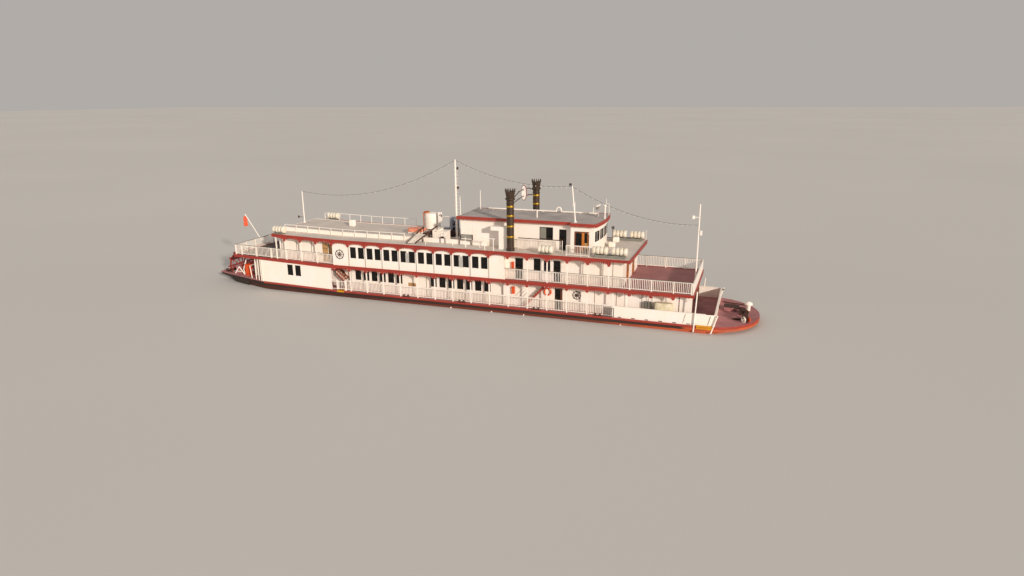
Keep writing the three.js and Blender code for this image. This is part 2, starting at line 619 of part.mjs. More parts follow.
// A vent duct stands aft of each funnel, with an arm at its head and a link to the wall
const ventDuct = (side) => join([
  block(21.55, 22.35, ...between(side, 3.0, 3.75), Z.roof + GAP, 8.1),
  block(20.75, 22.35, ...between(side, 3.0, 3.75), 7.72, 8.1),
  block(21.65, 22.25, ...between(side, DECKHOUSE.half - 0.04, 3.1), 7.3, 7.7),
]);
add('deckhouse_walls', cut(join([
  ...[-1, 1].map((side) => block(
    X.deckhouseAft, X.deckhouseFore - GAP, ...between(side, DECKHOUSE.half - WALL, DECKHOUSE.half), ...HOUSE,
  )),
  block(X.deckhouseAft, X.deckhouseAft + WALL, -DECKHOUSE.half, DECKHOUSE.half, ...HOUSE),
  ventDuct(-1),
  ventDuct(1),
]), [
  block(25.2, 26.45, -3, 3, Z.roof + 1.0, Z.roof + 2.1),
  block(27.1, 27.75, -3, 3, Z.roof - 0.1, Z.roof + 1.98),
  block(X.deckhouseAft - 1, X.deckhouseAft + 1, -0.4, 0.4, Z.roof - 0.1, Z.roof + 1.95),
]), COLOUR.cream);
add('deckhouse_roof', block(
  X.deckhouseAft - 0.25, X.deckhouseFore - GAP, -DECKHOUSE.roofHalf, DECKHOUSE.roofHalf,
  Z.house - PLATE, Z.house,
), COLOUR.grey, 0.8);

const DOOR = {
  hinge: 30.04, aft: 28.66, thick: 0.05, height: 1.98, pivot: 30.02, pin: 0.025, out: 0.045,
  pinFoot: 0.16, pinHead: 1.8,
};
// Columns: aft and forward edge of a pane
const DOOR_PANES = [[28.8, 29.38], [29.6, 29.92]];
const frontWindows = [-2.06, -0.69, 0.69, 2.06];

// Plan with a bowed front; fore is the station of its two corners
function bowedPlan(aft, fore, half) {
  const front = Array.from({ length: 9 }, (unused, index) => {
    const part = index / 4 - 1;
    return [fore + WHEELHOUSE.bow * (1 - part ** 2), half * part];
  });
  return [[aft, half], [aft, -half], ...front];
}
const wheelhouseBox = (inset) => prismZ(
  bowedPlan(
    X.deckhouseFore + inset, X.wheelhouseFore - WHEELHOUSE.overhang - inset, WHEELHOUSE.half - inset,
  ),
  HOUSE[0] - (inset ? 1 : 0), HOUSE[1] + (inset ? 1 : 0),
);
// Each door's pivot pin turns between two knuckles on the wall's outer face
const KNUCKLES = [[DOOR.pinFoot - 0.08, DOOR.pinFoot - GAP], [DOOR.pinHead + GAP, DOOR.pinHead + 0.08]];
const knuckles = (side) => KNUCKLES.flatMap(([low, high]) => [
  block(
    DOOR.pivot - 0.03, DOOR.hinge + 0.1, ...between(side, WHEELHOUSE.half + RUN, WHEELHOUSE.half + 0.08),
    Z.roof + low, Z.roof + high,
  ),
  block(
    DOOR.hinge + 0.02, DOOR.hinge + 0.1, ...between(side, WHEELHOUSE.half - 0.01, WHEELHOUSE.half + 0.03),
    Z.roof + low, Z.roof + high,
  ),
]);
add('wheelhouse_walls', cut(wheelhouseBox(0), [
  wheelhouseBox(WALL),
  ...frontWindows.map((y) => block(
    30.1, 31.5, y - WHEELHOUSE.pane, y + WHEELHOUSE.pane,
    Z.roof + WHEELHOUSE.sill, Z.roof + WHEELHOUSE.sill + WHEELHOUSE.glass,
  )),
  block(DOOR.aft, DOOR.hinge, -4, 4, Z.roof - 0.1, Z.roof + DOOR.height + RUN),
  block(28, 28.6, -0.4, 0.4, Z.roof - 0.1, Z.roof + 1.95),
]).add(join([...knuckles(-1), ...knuckles(1)])), COLOUR.cream);

function wheelhouseDoor(side) {
  const [y0, y1] = between(side, WHEELHOUSE.half - DOOR.thick, WHEELHOUSE.half);
  const leaf = block(DOOR.aft + RUN, DOOR.hinge - RUN, y0, y1, Z.roof + RUN, Z.roof + DOOR.height - RUN);
  const panes = DOOR_PANES.map(
    ([x0, x1]) => block(x0, x1, y0 - 1, y1 + 1, Z.roof + 0.7, Z.roof + DOOR.height - 0.14),
  );
  const axis = side * (WHEELHOUSE.half + DOOR.out);
  const pin = bar(
    [DOOR.pivot, axis, Z.roof + DOOR.pinFoot], [DOOR.pivot, axis, Z.roof + DOOR.pinHead], DOOR.pin, 10,
  );
  const straps = [0.3, 1.55].map((low) => block(
    DOOR.pivot - 0.2, DOOR.pivot, ...between(side, WHEELHOUSE.half - 0.01, WHEELHOUSE.half + DOOR.out),
    Z.roof + low, Z.roof + low + 0.09,
  ));
  return join([cut(leaf, panes), pin, ...straps]);
}
addPair('wheelhouse_door', wheelhouseDoor, COLOUR.wood);

// Wheelhouse roof with the radar's pedestal, and the scanner that turns on it
const RADAR = { x: 29.9, y: 1.2, head: Z.house + 0.95 };
add('wheelhouse_roof', join([
  prismZ(bowedPlan(X.deckhouseFore, X.wheelhouseFore, WHEELHOUSE.roofHalf), Z.house - PLATE, Z.house),
  bar([RADAR.x, RADAR.y, Z.house - 0.05], [RADAR.x, RADAR.y, RADAR.head - 0.2], 0.07, 8),
  block(RADAR.x - 0.2, RADAR.x + 0.2, RADAR.y - 0.2, RADAR.y + 0.2, RADAR.head - 0.25, RADAR.head),
]), COLOUR.grey, 0.8);

// Funnels: open tubes with a collar and a flared crown, standing beside the deckhouse
const FUNNEL = { y: 3.95, radius: 0.34, bore: 0.28, collar: 10.72, flare: 10.9, top: 11.68, crown: 0.5 };
const FUNNEL_SIDES = 20;
const CROWN_POINTS = 10;

function funnel(side) {
  const y = side * FUNNEL.y;
  const tube = turned([
    [0, Z.roof + GAP], [FUNNEL.radius, Z.roof + GAP], [FUNNEL.radius, FUNNEL.collar],
    [FUNNEL.radius + 0.12, FUNNEL.collar + 0.04], [FUNNEL.radius + 0.12, FUNNEL.collar + 0.14],
    [FUNNEL.radius + 0.02, FUNNEL.flare], [FUNNEL.crown, FUNNEL.top], [0, FUNNEL.top],
  ], X.funnel, y, FUNNEL_SIDES);
  const bore = bar([X.funnel, y, 8], [X.funnel, y, FUNNEL.top + 1], FUNNEL.bore, FUNNEL_SIDES);
  const notches = [];
  for (let index = 0; index < CROWN_POINTS / 2; index += 1) {
    const angle = (Math.PI * (index + 0.5)) / (CROWN_POINTS / 2);
    const reach = [Math.cos(angle), Math.sin(angle)];
    notches.push(bar(
      [X.funnel - reach[0], y - reach[1], FUNNEL.top + 0.02],
      [X.funnel + reach[0], y + reach[1], FUNNEL.top + 0.02], 0.08, 4,
    ));
  }
  return cut(tube, [bore, ...notches]);
}
addPair('funnel', funnel, COLOUR.black, 0.5);

// Oval sign board held between the funnels by two pairs of stays
const SIGN = { z: 10.86, halfHeight: 0.72, halfWidth: 0.27, halfThick: 0.05 };
const signBoard = (() => {
  const oval = new THREE.Shape();
  oval.absellipse(0, 0, SIGN.halfWidth * MM, SIGN.halfHeight * MM, 0, 2 * Math.PI);
  const geometry = new THREE.ExtrudeGeometry(oval, {
    depth: 2 * SIGN.halfThick * MM, bevelEnabled: false, curveSegments: 20,
  });
  geometry.rotateX(Math.PI / 2);
  geometry.translate((X.funnel - MIDSHIP) * MM, SIGN.halfThick * MM, SIGN.z * MM);
  return toManifold(geometry);
})();
const STAYS = [
  { z: 10.25, sag: 0.1 },
  { z: 10.62, sag: 0.4 },
];
const stayEnd = FUNNEL.y - FUNNEL.radius - GAP;
add('funnel_sign', join([
  signBoard,
  ...[-1, 1].flatMap((side) => STAYS.flatMap(({ z, sag }) => {
    const knee = [X.funnel, side * 1.5, z + sag + 0.12];
    return [
      bar([X.funnel, side * stayEnd, z], [X.funnel, side * (stayEnd - 0.1), z], 0.06, 6),
      bar([X.funnel, side * (stayEnd - 0.07), z], knee, 0.045, 6),
      bar(knee, [X.funnel, side * 0.02, z + sag + 0.2], 0.045, 6),
      bar([knee[0], knee[1] - 0.05, knee[2]], [knee[0], knee[1] + 0.05, knee[2]], 0.06, 6),
    ];
  })),
]), COLOUR.black, 0.5);

// Masts and staff
const mast = (x, y, foot, head, radius, spars = [], rake = 0) => join([
  bar([x, y, foot + 0.02], [x - rake, y, head], radius, 8, radius * 0.7),
  bar([x, y, foot + GAP], [x, y, foot + 0.08], radius * 2.2, 8),
  ...spars,
]);
const rungs = Array.from({ length: 9 }, (unused, index) => {
  const z = 8.9 + index * 0.5;
  return bar([15.6, -0.24, z], [15.6, 0.24, z], 0.028, 4);
});
add('signal_mast', mast(15.6, 0, Z.roof, 13.85, 0.11, rungs), COLOUR.cream);
add('aft_mast', mast(-3.0, 0.35, Z.raised + rise(-3.2), 9.97, 0.07), COLOUR.cream);
add('wheelhouse_mast', mast(28.58, -2.4, Z.house, 12.0, 0.07, [
  bar([28.41, -2.8, 10.3], [28.41, -2.0, 10.3], 0.04, 6),
], 0.35), COLOUR.cream);
add('fore_mast', mast(X.upperFore - 0.3, 0, Z.upper, 10.5, 0.08, [
  bar([X.upperFore - 0.75, 0, 9.3], [X.upperFore - 0.3, 0, 9.3], 0.035, 6),
  bar([X.upperFore - 0.85, 0, 9.15], [X.upperFore - 0.85, 0, 9.45], 0.14, 8),
]), COLOUR.cream);
// The staff leans aft from a socket on the outside of the stern rail's middle post
const staffPole = (radius) => bar([-8.5, 0, 3.72], [-10.75, 0, 7.1], radius, 8);
add('ensign_staff', join([
  staffPole(0.05),
  block(-8.6, X.upperAft + 0.04 - GAP, -0.07, 0.07, 3.74, 4.0),
]), COLOUR.cream);

// The ensign hangs slack from the staff in soft folds
const FLAG = { head: 6.85, foot: 5.75, thick: 0.02 };
const flagLine = [[-10.98, 0.02], [-10.87, 0.1], [-10.76, -0.03], [-10.65, 0.08], [-10.53, 0]];
const flagEdge = (offset) => flagLine.map(([x, y]) => [x, y + offset]);
add('ensign', prismZ(
  [...flagEdge(-FLAG.thick), ...flagEdge(FLAG.thick).reverse()], FLAG.foot, FLAG.head,
).subtract(staffPole(0.05 + 2 * GAP))
  .subtract(prismY([[-8.5, 3.72], [-8, 7.1], [-10.75, 7.1]], -1, 1)), COLOUR.red, 0.9);

add('radar_scanner', join([
  bar([RADAR.x, RADAR.y, RADAR.head + 0.0012], [RADAR.x, RADAR.y, RADAR.head + 0.1], 0.05, 12),
  block(RADAR.x - 0.07, RADAR.x + 0.07, RADAR.y - 0.6, RADAR.y + 0.6, RADAR.head + 0.06, RADAR.head + 0.2),
]), COLOUR.cream);

// Liferaft canisters: drums lying along the ship on cradles, two drums to a cradle forward
const RAFT = { length: 1.4, pitch: 1.75, radius: 0.36 };
// Columns: name, aft end of the first drum, distance to port, drums, height of the cradle
const RAFTS = [
  ['liferafts_fore_starboard', 30.65, -4.1, 2, 0.26], ['liferafts_fore_port', 30.8, 4.1, 2, 0.26],
  ['liferaft_side_starboard', 25.66, -4.4, 1, 0.1], ['liferaft_aft_starboard', -3.4, -4.4, 1, 0.1],
  ['liferaft_aft_port', -2.4, 4.1, 1, 0.26],
];

function rafts(x0, y, drums, lift) {
  const floor = Z.roof + rise(x0);
  const middle = floor + lift + RAFT.radius;
  const last = x0 + (drums - 1) * RAFT.pitch + RAFT.length;
  const parts = [-0.25, 0.25].map((across) => slab(
    x0 + 0.15, last - 0.15, y + across - 0.05, y + across + 0.05, Z.roof + GAP, Z.roof + lift,
  ));
  for (let drum = 0; drum < drums; drum += 1) {
    const from = x0 + drum * RAFT.pitch;
    parts.push(bar([from, y, middle], [from + RAFT.length, y, middle], RAFT.radius, 14));
    for (const along of [0.25, 1.03]) {
      parts.push(block(
        from + along, from + along + 0.12, y - 0.3, y + 0.3, floor + 0.05, floor + lift + 0.15,
      ));
    }
  }
  return join(parts);
}
for (const [name, ...place] of RAFTS) {
  add(name, rafts(...place), COLOUR.cream);
}

// Tank, covered boat and lockers amidships on the roof
const onRaised = Z.raised + GAP;
add('water_tank', turned([
  [0, onRaised], [0.72, onRaised], [0.72, onRaised + 1.68], [0.5, onRaised + 1.8], [0, onRaised + 1.8],
], 11.95, 1.7, 18), COLOUR.cream);
add('covered_boat', prismX([
  [-1.4, onRaised], [-0.25, onRaised], [-0.1, onRaised + 0.3],
  [-0.45, onRaised + 0.56], [-1.2, onRaised + 0.56], [-1.55, onRaised + 0.3],
], 10.6, 12.5), COLOUR.orange);
add('roof_lockers', join([
  block(13.75, 14.6, -1.9, -1.1, Z.roof + GAP, Z.roof + 1.15),
  block(14.55, 15.35, -1.9, -1.1, Z.roof + GAP, Z.roof + 0.95),
]), COLOUR.cream);

export default ship;
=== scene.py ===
# Stern paddle steamer: the looks of the 1:2 scale model.
# Lengths in this file are full-size metres, measured forward from the aftmost fascia bay, to port and up from
# the waterline. TO_MODEL halves them and moves the origin amidships as each piece is finished.
import math

import bmesh
import bpy
from mathutils import Matrix, Vector


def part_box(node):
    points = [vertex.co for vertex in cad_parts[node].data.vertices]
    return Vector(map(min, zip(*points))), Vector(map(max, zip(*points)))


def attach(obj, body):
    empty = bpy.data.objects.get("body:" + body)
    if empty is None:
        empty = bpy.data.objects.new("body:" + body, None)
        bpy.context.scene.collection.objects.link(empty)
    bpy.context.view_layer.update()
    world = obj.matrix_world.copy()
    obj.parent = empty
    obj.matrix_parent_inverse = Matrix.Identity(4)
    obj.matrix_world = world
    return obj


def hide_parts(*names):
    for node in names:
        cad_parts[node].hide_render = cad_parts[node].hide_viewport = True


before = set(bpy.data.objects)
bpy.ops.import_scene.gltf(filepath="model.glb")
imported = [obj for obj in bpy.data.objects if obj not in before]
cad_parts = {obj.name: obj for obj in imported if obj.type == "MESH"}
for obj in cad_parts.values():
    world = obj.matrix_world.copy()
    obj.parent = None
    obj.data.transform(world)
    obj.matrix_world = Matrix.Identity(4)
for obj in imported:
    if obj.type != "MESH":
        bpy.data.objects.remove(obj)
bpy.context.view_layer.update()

bl_info = {
    "name": "Paddle Steamer Looks",
    "version": (1, 0, 0),
    "blender": (4, 5, 0),
    "location": "View3D > Sidebar > Steamer",
    "description": "Trim, windows, rails, deck gear and finishes for a stern paddle steamer",
    "category": "Object",
}

# Frame
SCALE = 0.5
MIDSHIP = 16.5
TO_MODEL = Matrix.Scale(SCALE, 4) @ Matrix.Translation((-MIDSHIP, 0, 0))
BOTH = (-1, 1)  # starboard, port
SIDES = ((-1, "starboard"), (1, "port"))

# Ship's main sizes, as in the CAD
BAY = 1.9
KINK = 2 * BAY
RISE = 0.0208
HALF_BEAM = 4.84
FLUSH = 4.74
INSET = 3.9
LOUNGE = 3.95
HOUSE_WALL = 2.45
RAIL_LINE = 4.7
RAIL_HEIGHT = 1.08
MAIN, UPPER, ROOF, HOUSE = 0.69, 3.33, 5.97, 8.7
SOFFIT = 0.13  # how far the top of a wall's trim stays below the deck above
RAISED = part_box("water_tank")[0].z / SCALE
RAISED_HALF = 2.75
FUNNEL_X, FUNNEL_Y = 22.8, 3.95
SIGNAL_MAST = 15.6
WHEEL_X, WHEEL_Z = -9.75, 1.5

# Edges that turn by more than this stay sharp
SHARP_ANGLE = math.radians(38)


def rise(x):
    """How far the decks stand above their level forward, at a station."""
    return RISE * max(0.0, KINK - x)


# Shapes

def new_shapes(count):
    """Empty shapes to build in."""
    return [bmesh.new() for index in range(count)]


def box(shape, x0, x1, y0, y1, z0, z1):
    """A box between two corners, and its vertices."""
    size = Matrix.Diagonal((abs(x1 - x0), abs(y1 - y0), abs(z1 - z0), 1))
    middle = Matrix.Translation(((x0 + x1) / 2, (y0 + y1) / 2, (z0 + z1) / 2))
    return bmesh.ops.create_cube(shape, size=1, matrix=middle @ size)["verts"]


def lift(verts):
    """Moves vertices up with the decks' rise towards the stern."""
    for vert in verts:
        vert.co.z += rise(vert.co.x)


def strip(shape, x0, x1, y0, y1, z0, z1):
    """A board along the ship that follows the decks' rise."""
    stations = [x0, KINK, x1] if x0 < KINK < x1 else [x0, x1]
    for start, end in zip(stations, stations[1:]):
        lift(box(shape, start, end, y0, y1, z0, z1))


def rod(shape, start, end, radius, sides=8, tip=None):
    """A round bar or cone between two points."""
    start, end = Vector(start), Vector(end)
    along = end - start
    turn = along.to_track_quat("Z", "Y").to_matrix().to_4x4()
    return bmesh.ops.create_cone(
        shape, cap_ends=True, cap_tris=False, segments=sides, radius1=radius,
        radius2=radius if tip is None else tip, depth=along.length,
        matrix=Matrix.Translation((start + end) / 2) @ turn,
    )["verts"]


def chain_of_rods(shape, points, radius, sides=6):
    """Bars end to end along a line of points."""
    for start, end in zip(points, points[1:]):
        rod(shape, start, end, radius, sides)


def ring(shape, centre, axis, radius, thickness, steps=24, sides=8, angle=2 * math.pi):
    """A round bar bent to a circle, or to a part of one."""
    turn = Vector(axis).to_track_quat("Z", "Y").to_matrix().to_4x4()
    here = Matrix.Translation(centre) @ turn
    section = here @ Matrix.Translation((radius, 0, 0)) @ Matrix.Rotation(math.pi / 2, 4, "X")
    whole = angle >= 2 * math.pi - 1e-6
    circle = bmesh.ops.create_circle(shape, cap_ends=not whole, segments=sides, radius=thickness,
                                     matrix=section)
    verts = circle["verts"]
    edges = list({edge for vert in verts for edge in vert.link_edges})
    faces = [] if whole else list({face for vert in verts for face in vert.link_faces})
    bmesh.ops.spin(
        shape, geom=verts + edges + faces, cent=centre, axis=axis, angle=angle, steps=steps, use_merge=whole,
        dvec=(0, 0, 0),
    )


def turned(shape, profile, centre, axis=(0, 0, 1), steps=24):
    """A turned piece from (radius, height) pairs, with its poles closed."""
    known = set(shape.verts)
    here = Matrix.Translation(centre) @ Vector(axis).to_track_quat("Z", "Y").to_matrix().to_4x4()
    verts = [shape.verts.new(here @ Vector((radius, 0, height))) for radius, height in profile]
    edges = [shape.edges.new(pair) for pair in zip(verts, verts[1:])]
    bmesh.ops.spin(
        shape, geom=verts + edges, cent=centre, axis=axis, angle=2 * math.pi, steps=steps, use_merge=True,
        dvec=(0, 0, 0),
    )
    fresh = [vert for vert in shape.verts if vert not in known]
    bmesh.ops.remove_doubles(shape, verts=fresh, dist=1e-5)


def plate(shape, outline, depth):
    """A flat outline given its thickness along a vector."""
    face = shape.faces.new([shape.verts.new(point) for point in outline])
    grown = bmesh.ops.extrude_face_region(shape, geom=[face])["geom"]
    verts = [item for item in grown if isinstance(item, bmesh.types.BMVert)]
    bmesh.ops.translate(shape, verts=verts, vec=depth)


# Pairs of a finish and the slot of the pieces that wear it
CREAM = ("satin_enamel_cream", "white_paint")
RED = ("satin_enamel_red", "red_paint")
IRON = ("cast_iron_dark", "grey_iron")
ORANGE = ("lifebuoy_orange_enamel", "orange_cover")
WHITE_SHELL = ("moulded_gelcoat_white", "white_paint")


def finish(name, shape, material, slot, body="ship"):
    """Turns a shape into a piece of the model that rides on a body."""
    bmesh.ops.transform(shape, matrix=TO_MODEL, verts=shape.verts)
    bmesh.ops.recalc_face_normals(shape, faces=shape.faces)
    mesh = bpy.data.meshes.new(name)
    shape.to_mesh(mesh)
    shape.free()
    mesh.shade_smooth()
    mesh.set_sharp_from_angle(angle=SHARP_ANGLE)
    piece = bpy.data.objects.new(name, mesh)
    bpy.context.scene.collection.objects.link(piece)
    mesh.materials.append(bpy.data.materials[material])
    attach(piece, body)
    return piece


# Materials

def linear(code):
    """An sRGB hex colour as linear red, green, blue and alpha."""
    parts = [int(code[index:index + 2], 16) / 255 for index in (1, 3, 5)]
    parts = [part / 12.92 if part <= 0.04045 else ((part + 0.055) / 1.055) ** 2.4 for part in parts]
    return (*parts, 1.0)


def add_node(tree, kind, inputs=None, stops=None, **settings):
    """Adds a node with its settings, its values and its links."""
    node = tree.nodes.new(kind)
    for name, value in settings.items():
        setattr(node, name, value)
    for name, value in (inputs or {}).items():
        if isinstance(value, bpy.types.NodeSocket):
            tree.links.new(value, node.inputs[name])
        else:
            node.inputs[name].default_value = value
    if stops:
        ramp = node.color_ramp
        for element, (position, colour) in zip((ramp.elements[0], ramp.elements[-1]), (stops[0], stops[-1])):
            element.position = position
            element.color = colour
        for position, colour in stops[1:-1]:
            ramp.elements.new(position).color = colour
    return node


def per_mm(size):
    """The texture scale whose features are this many millimetres long on the model."""
    return 1000.0 / size


def new_material(name, **constants):
    """A material with its shader, whose constant sockets are set directly."""
    material = bpy.data.materials.new(name)
    material.use_nodes = True
    tree = material.node_tree
    tree.nodes.clear()
    surface = add_node(tree, "ShaderNodeBsdfPrincipled", {
        key.replace("_", " ").title().replace("Ior", "IOR"): value for key, value in constants.items()
    })
    add_node(tree, "ShaderNodeOutputMaterial", {"Surface": surface.outputs["BSDF"]})
    place = add_node(tree, "ShaderNodeTexCoord").outputs["Object"]
    return tree, place, surface


BLACK = (0, 0, 0, 1)
WHITE = (1, 1, 1, 1)
STREAK_SQUEEZE = 0.035
GRAIN_SQUEEZE = 0.06
RIPPLE_MM = 420


def weathered_paint(name, body, shade, stain, *, patch_mm, streak_mm, streaks, speck_mm, roughness, bump_mm,
                    fading=1.0, **constants):
    """Brushed marine paint: broad fading, rain streaks down the plates, specks of rust and brush texture. The
    body is one colour, or a list of (full-size station, colour) where the paint changes along the ship."""
    tree, place, surface = new_material(name, **constants)
    if isinstance(body, str):
        base = linear(body)
    else:
        first, last = body[0][0], body[-1][0]
        axes = add_node(tree, "ShaderNodeSeparateXYZ", {"Vector": place})
        station = add_node(tree, "ShaderNodeMapRange", {
            "Value": axes.outputs["X"], "From Min": (first - MIDSHIP) * SCALE,
            "From Max": (last - MIDSHIP) * SCALE})
        stops = [((x - first) / (last - first), linear(code)) for x, code in body]
        ramp = add_node(tree, "ShaderNodeValToRGB", {"Fac": station.outputs["Result"]}, stops=stops)
        base = ramp.outputs["Color"]
    fade = add_node(tree, "ShaderNodeTexNoise", {"Vector": place, "Scale": per_mm(patch_mm), "Detail": 4.0})
    fade_mask = add_node(tree, "ShaderNodeMapRange",
                         {"Value": fade.outputs["Fac"], "From Min": 0.3, "From Max": 0.72, "To Max": fading})
    faded = add_node(tree, "ShaderNodeMix", {0: fade_mask.outputs["Result"], 6: base, 7: linear(shade)},
                     data_type="RGBA")
    # Rain streaks are thin across the wall and thirty times as long down it
    tall = add_node(tree, "ShaderNodeMapping", {"Vector": place, "Scale": (1.0, 1.0, STREAK_SQUEEZE)})
    runs = add_node(tree, "ShaderNodeTexNoise", {"Vector": tall.outputs["Vector"], "Scale": per_mm(streak_mm),
                                                 "Detail": 3.0, "Roughness": 0.6})
    places = add_node(tree, "ShaderNodeTexNoise",
                      {"Vector": place, "Scale": per_mm(patch_mm * 1.7), "Detail": 2.0})
    run_mask = add_node(tree, "ShaderNodeValToRGB", {"Fac": runs.outputs["Fac"]},
                        stops=[(0.56, BLACK), (0.74, WHITE)])
    place_mask = add_node(tree, "ShaderNodeValToRGB", {"Fac": places.outputs["Fac"]},
                          stops=[(0.45, BLACK), (0.68, WHITE)])
    where = add_node(tree, "ShaderNodeMath", {0: run_mask.outputs["Color"], 1: place_mask.outputs["Color"]},
                     operation="MULTIPLY")
    streaked = add_node(tree, "ShaderNodeMath", {0: where.outputs["Value"], 1: streaks}, operation="MULTIPLY")
    rained = add_node(tree, "ShaderNodeMix",
                      {0: streaked.outputs["Value"], 6: faded.outputs[2], 7: linear(stain)},
                      data_type="RGBA")
    # Specks where the paint has chipped down to rust
    chips = add_node(tree, "ShaderNodeTexVoronoi",
                     {"Vector": place, "Scale": per_mm(speck_mm), "Randomness": 1.0})
    chip_mask = add_node(tree, "ShaderNodeValToRGB", {"Fac": chips.outputs["Distance"]},
                         stops=[(0.045, WHITE), (0.085, BLACK)])
    chipped = add_node(tree, "ShaderNodeMath", {0: chip_mask.outputs["Color"], 1: 0.45}, operation="MULTIPLY")
    coat = add_node(tree, "ShaderNodeMix",
                    {0: chipped.outputs["Value"], 6: rained.outputs[2], 7: linear(stain)},
                    data_type="RGBA")
    tree.links.new(coat.outputs[2], surface.inputs["Base Color"])
    gloss = add_node(tree, "ShaderNodeMapRange",
                     {"Value": fade.outputs["Fac"], "To Min": roughness - 0.1, "To Max": roughness + 0.12})
    tree.links.new(gloss.outputs["Result"], surface.inputs["Roughness"])
    brush = add_node(tree, "ShaderNodeTexNoise", {"Vector": place, "Scale": per_mm(bump_mm), "Detail": 3.0})
    relief = add_node(tree, "ShaderNodeBump",
                      {"Height": brush.outputs["Fac"], "Strength": 0.25, "Distance": 0.002})
    tree.links.new(relief.outputs["Normal"], surface.inputs["Normal"])


def clouded(name, noise, stops, sheen, bump, along=None, **constants):
    """A finish from one noise, which gives its colour between the stops, its sheen and its relief. Along an
    axis, the noise is stretched to a grain."""
    tree, place, surface = new_material(name, **constants)
    if along is not None:
        stretch = [1.0, 1.0, 1.0]
        stretch[along] = GRAIN_SQUEEZE
        grain = add_node(tree, "ShaderNodeMapping", {"Vector": place, "Scale": tuple(stretch)})
        place = grain.outputs["Vector"]
    cloud = add_node(tree, "ShaderNodeTexNoise", {"Vector": place, **noise}).outputs["Fac"]
    colour = add_node(tree, "ShaderNodeValToRGB", {"Fac": cloud},
                      stops=[(position, linear(code)) for position, code in stops])
    tree.links.new(colour.outputs["Color"], surface.inputs["Base Color"])
    if sheen:
        gloss = add_node(tree, "ShaderNodeMapRange", {"Value": cloud, "To Min": sheen[0], "To Max": sheen[1]})
        tree.links.new(gloss.outputs["Result"], surface.inputs["Roughness"])
    relief = add_node(tree, "ShaderNodeBump", {"Height": cloud, "Strength": bump[0], "Distance": bump[1]})
    tree.links.new(relief.outputs["Normal"], surface.inputs["Normal"])


def grained_timber(name, body, dark, pale, *, grain_mm, along, roughness, **constants):
    """Timber with its grain along one axis, and fine open pores."""
    clouded(name, {"Scale": per_mm(grain_mm), "Detail": 6.0, "Distortion": 0.4},
            [(0.3, dark), (0.55, body), (0.8, pale)], (roughness + 0.1, roughness - 0.1), (0.4, 0.003), along,
            **constants)


def worn_metal(name, body, tarnish, *, patch_mm, roughness, **constants):
    """Bare or thinly coated metal with tarnish in broad patches and a finely scratched sheen."""
    clouded(name, {"Scale": per_mm(patch_mm), "Detail": 5.0}, [(0.35, body), (0.75, tarnish)],
            (roughness - 0.08, roughness + 0.15), (0.2, 0.001), **constants)


def panes(name, body, reflect, **constants):
    """Toughened glass over a dark room: slightly uneven, so that its reflections ripple."""
    clouded(name, {"Scale": per_mm(RIPPLE_MM), "Detail": 2.0}, [(0.4, body), (0.7, reflect)], None,
            (0.1, 0.002), **constants)


def woven_cloth(name, body, worn, *, thread_mm, crease_mm, **constants):
    """Cloth with two sets of crossing threads, read from the piece's own UV map, and soft creases."""
    tree, place, surface = new_material(name, **constants)
    flat = add_node(tree, "ShaderNodeTexCoord").outputs["UV"]
    strands = {"Vector": flat, "Scale": per_mm(thread_mm) / 2, "Distortion": 0.3}
    warp, weft = (add_node(tree, "ShaderNodeTexWave", strands, bands_direction=way) for way in ("X", "Y"))
    weave = add_node(tree, "ShaderNodeMath", {0: warp.outputs["Fac"], 1: weft.outputs["Fac"]},
                     operation="MULTIPLY")
    crease = add_node(tree, "ShaderNodeTexNoise",
                      {"Vector": place, "Scale": per_mm(crease_mm), "Detail": 4.0})
    colour = add_node(tree, "ShaderNodeValToRGB", {"Fac": crease.outputs["Fac"]},
                      stops=[(0.3, linear(body)), (0.75, linear(worn))])
    tree.links.new(colour.outputs["Color"], surface.inputs["Base Color"])
    threads = add_node(tree, "ShaderNodeBump",
                       {"Height": weave.outputs["Value"], "Strength": 0.3, "Distance": 0.001})
    relief = add_node(tree, "ShaderNodeBump",
                      {"Height": crease.outputs["Fac"], "Strength": 0.5, "Distance": 0.01,
                                               "Normal": threads.outputs["Normal"]})
    tree.links.new(relief.outputs["Normal"], surface.inputs["Normal"])


# Columns: full-size station, colour there
HULL_ZONES = [(-8.0, "#3d241b"), (7.0, "#452319"), (12.0, "#6e3626"), (31.0, "#7d3f2c"), (37.0, "#d2633a"),
              (45.0, "#e27243")]
# On the upper deck the dark grey aft of station -3.2 is painted shade
UPPER_DECK_ZONES = [(-8.5, "#4b4745"), (-3.2, "#4b4745"), (-3.0, "#a86f6c"), (40.0, "#a86f6c")]
STRAKE_ZONES = [(-8.0, "#32211b"), (38.8, "#3b261e"), (39.1, "#c4552f"), (46.0, "#cf6036")]


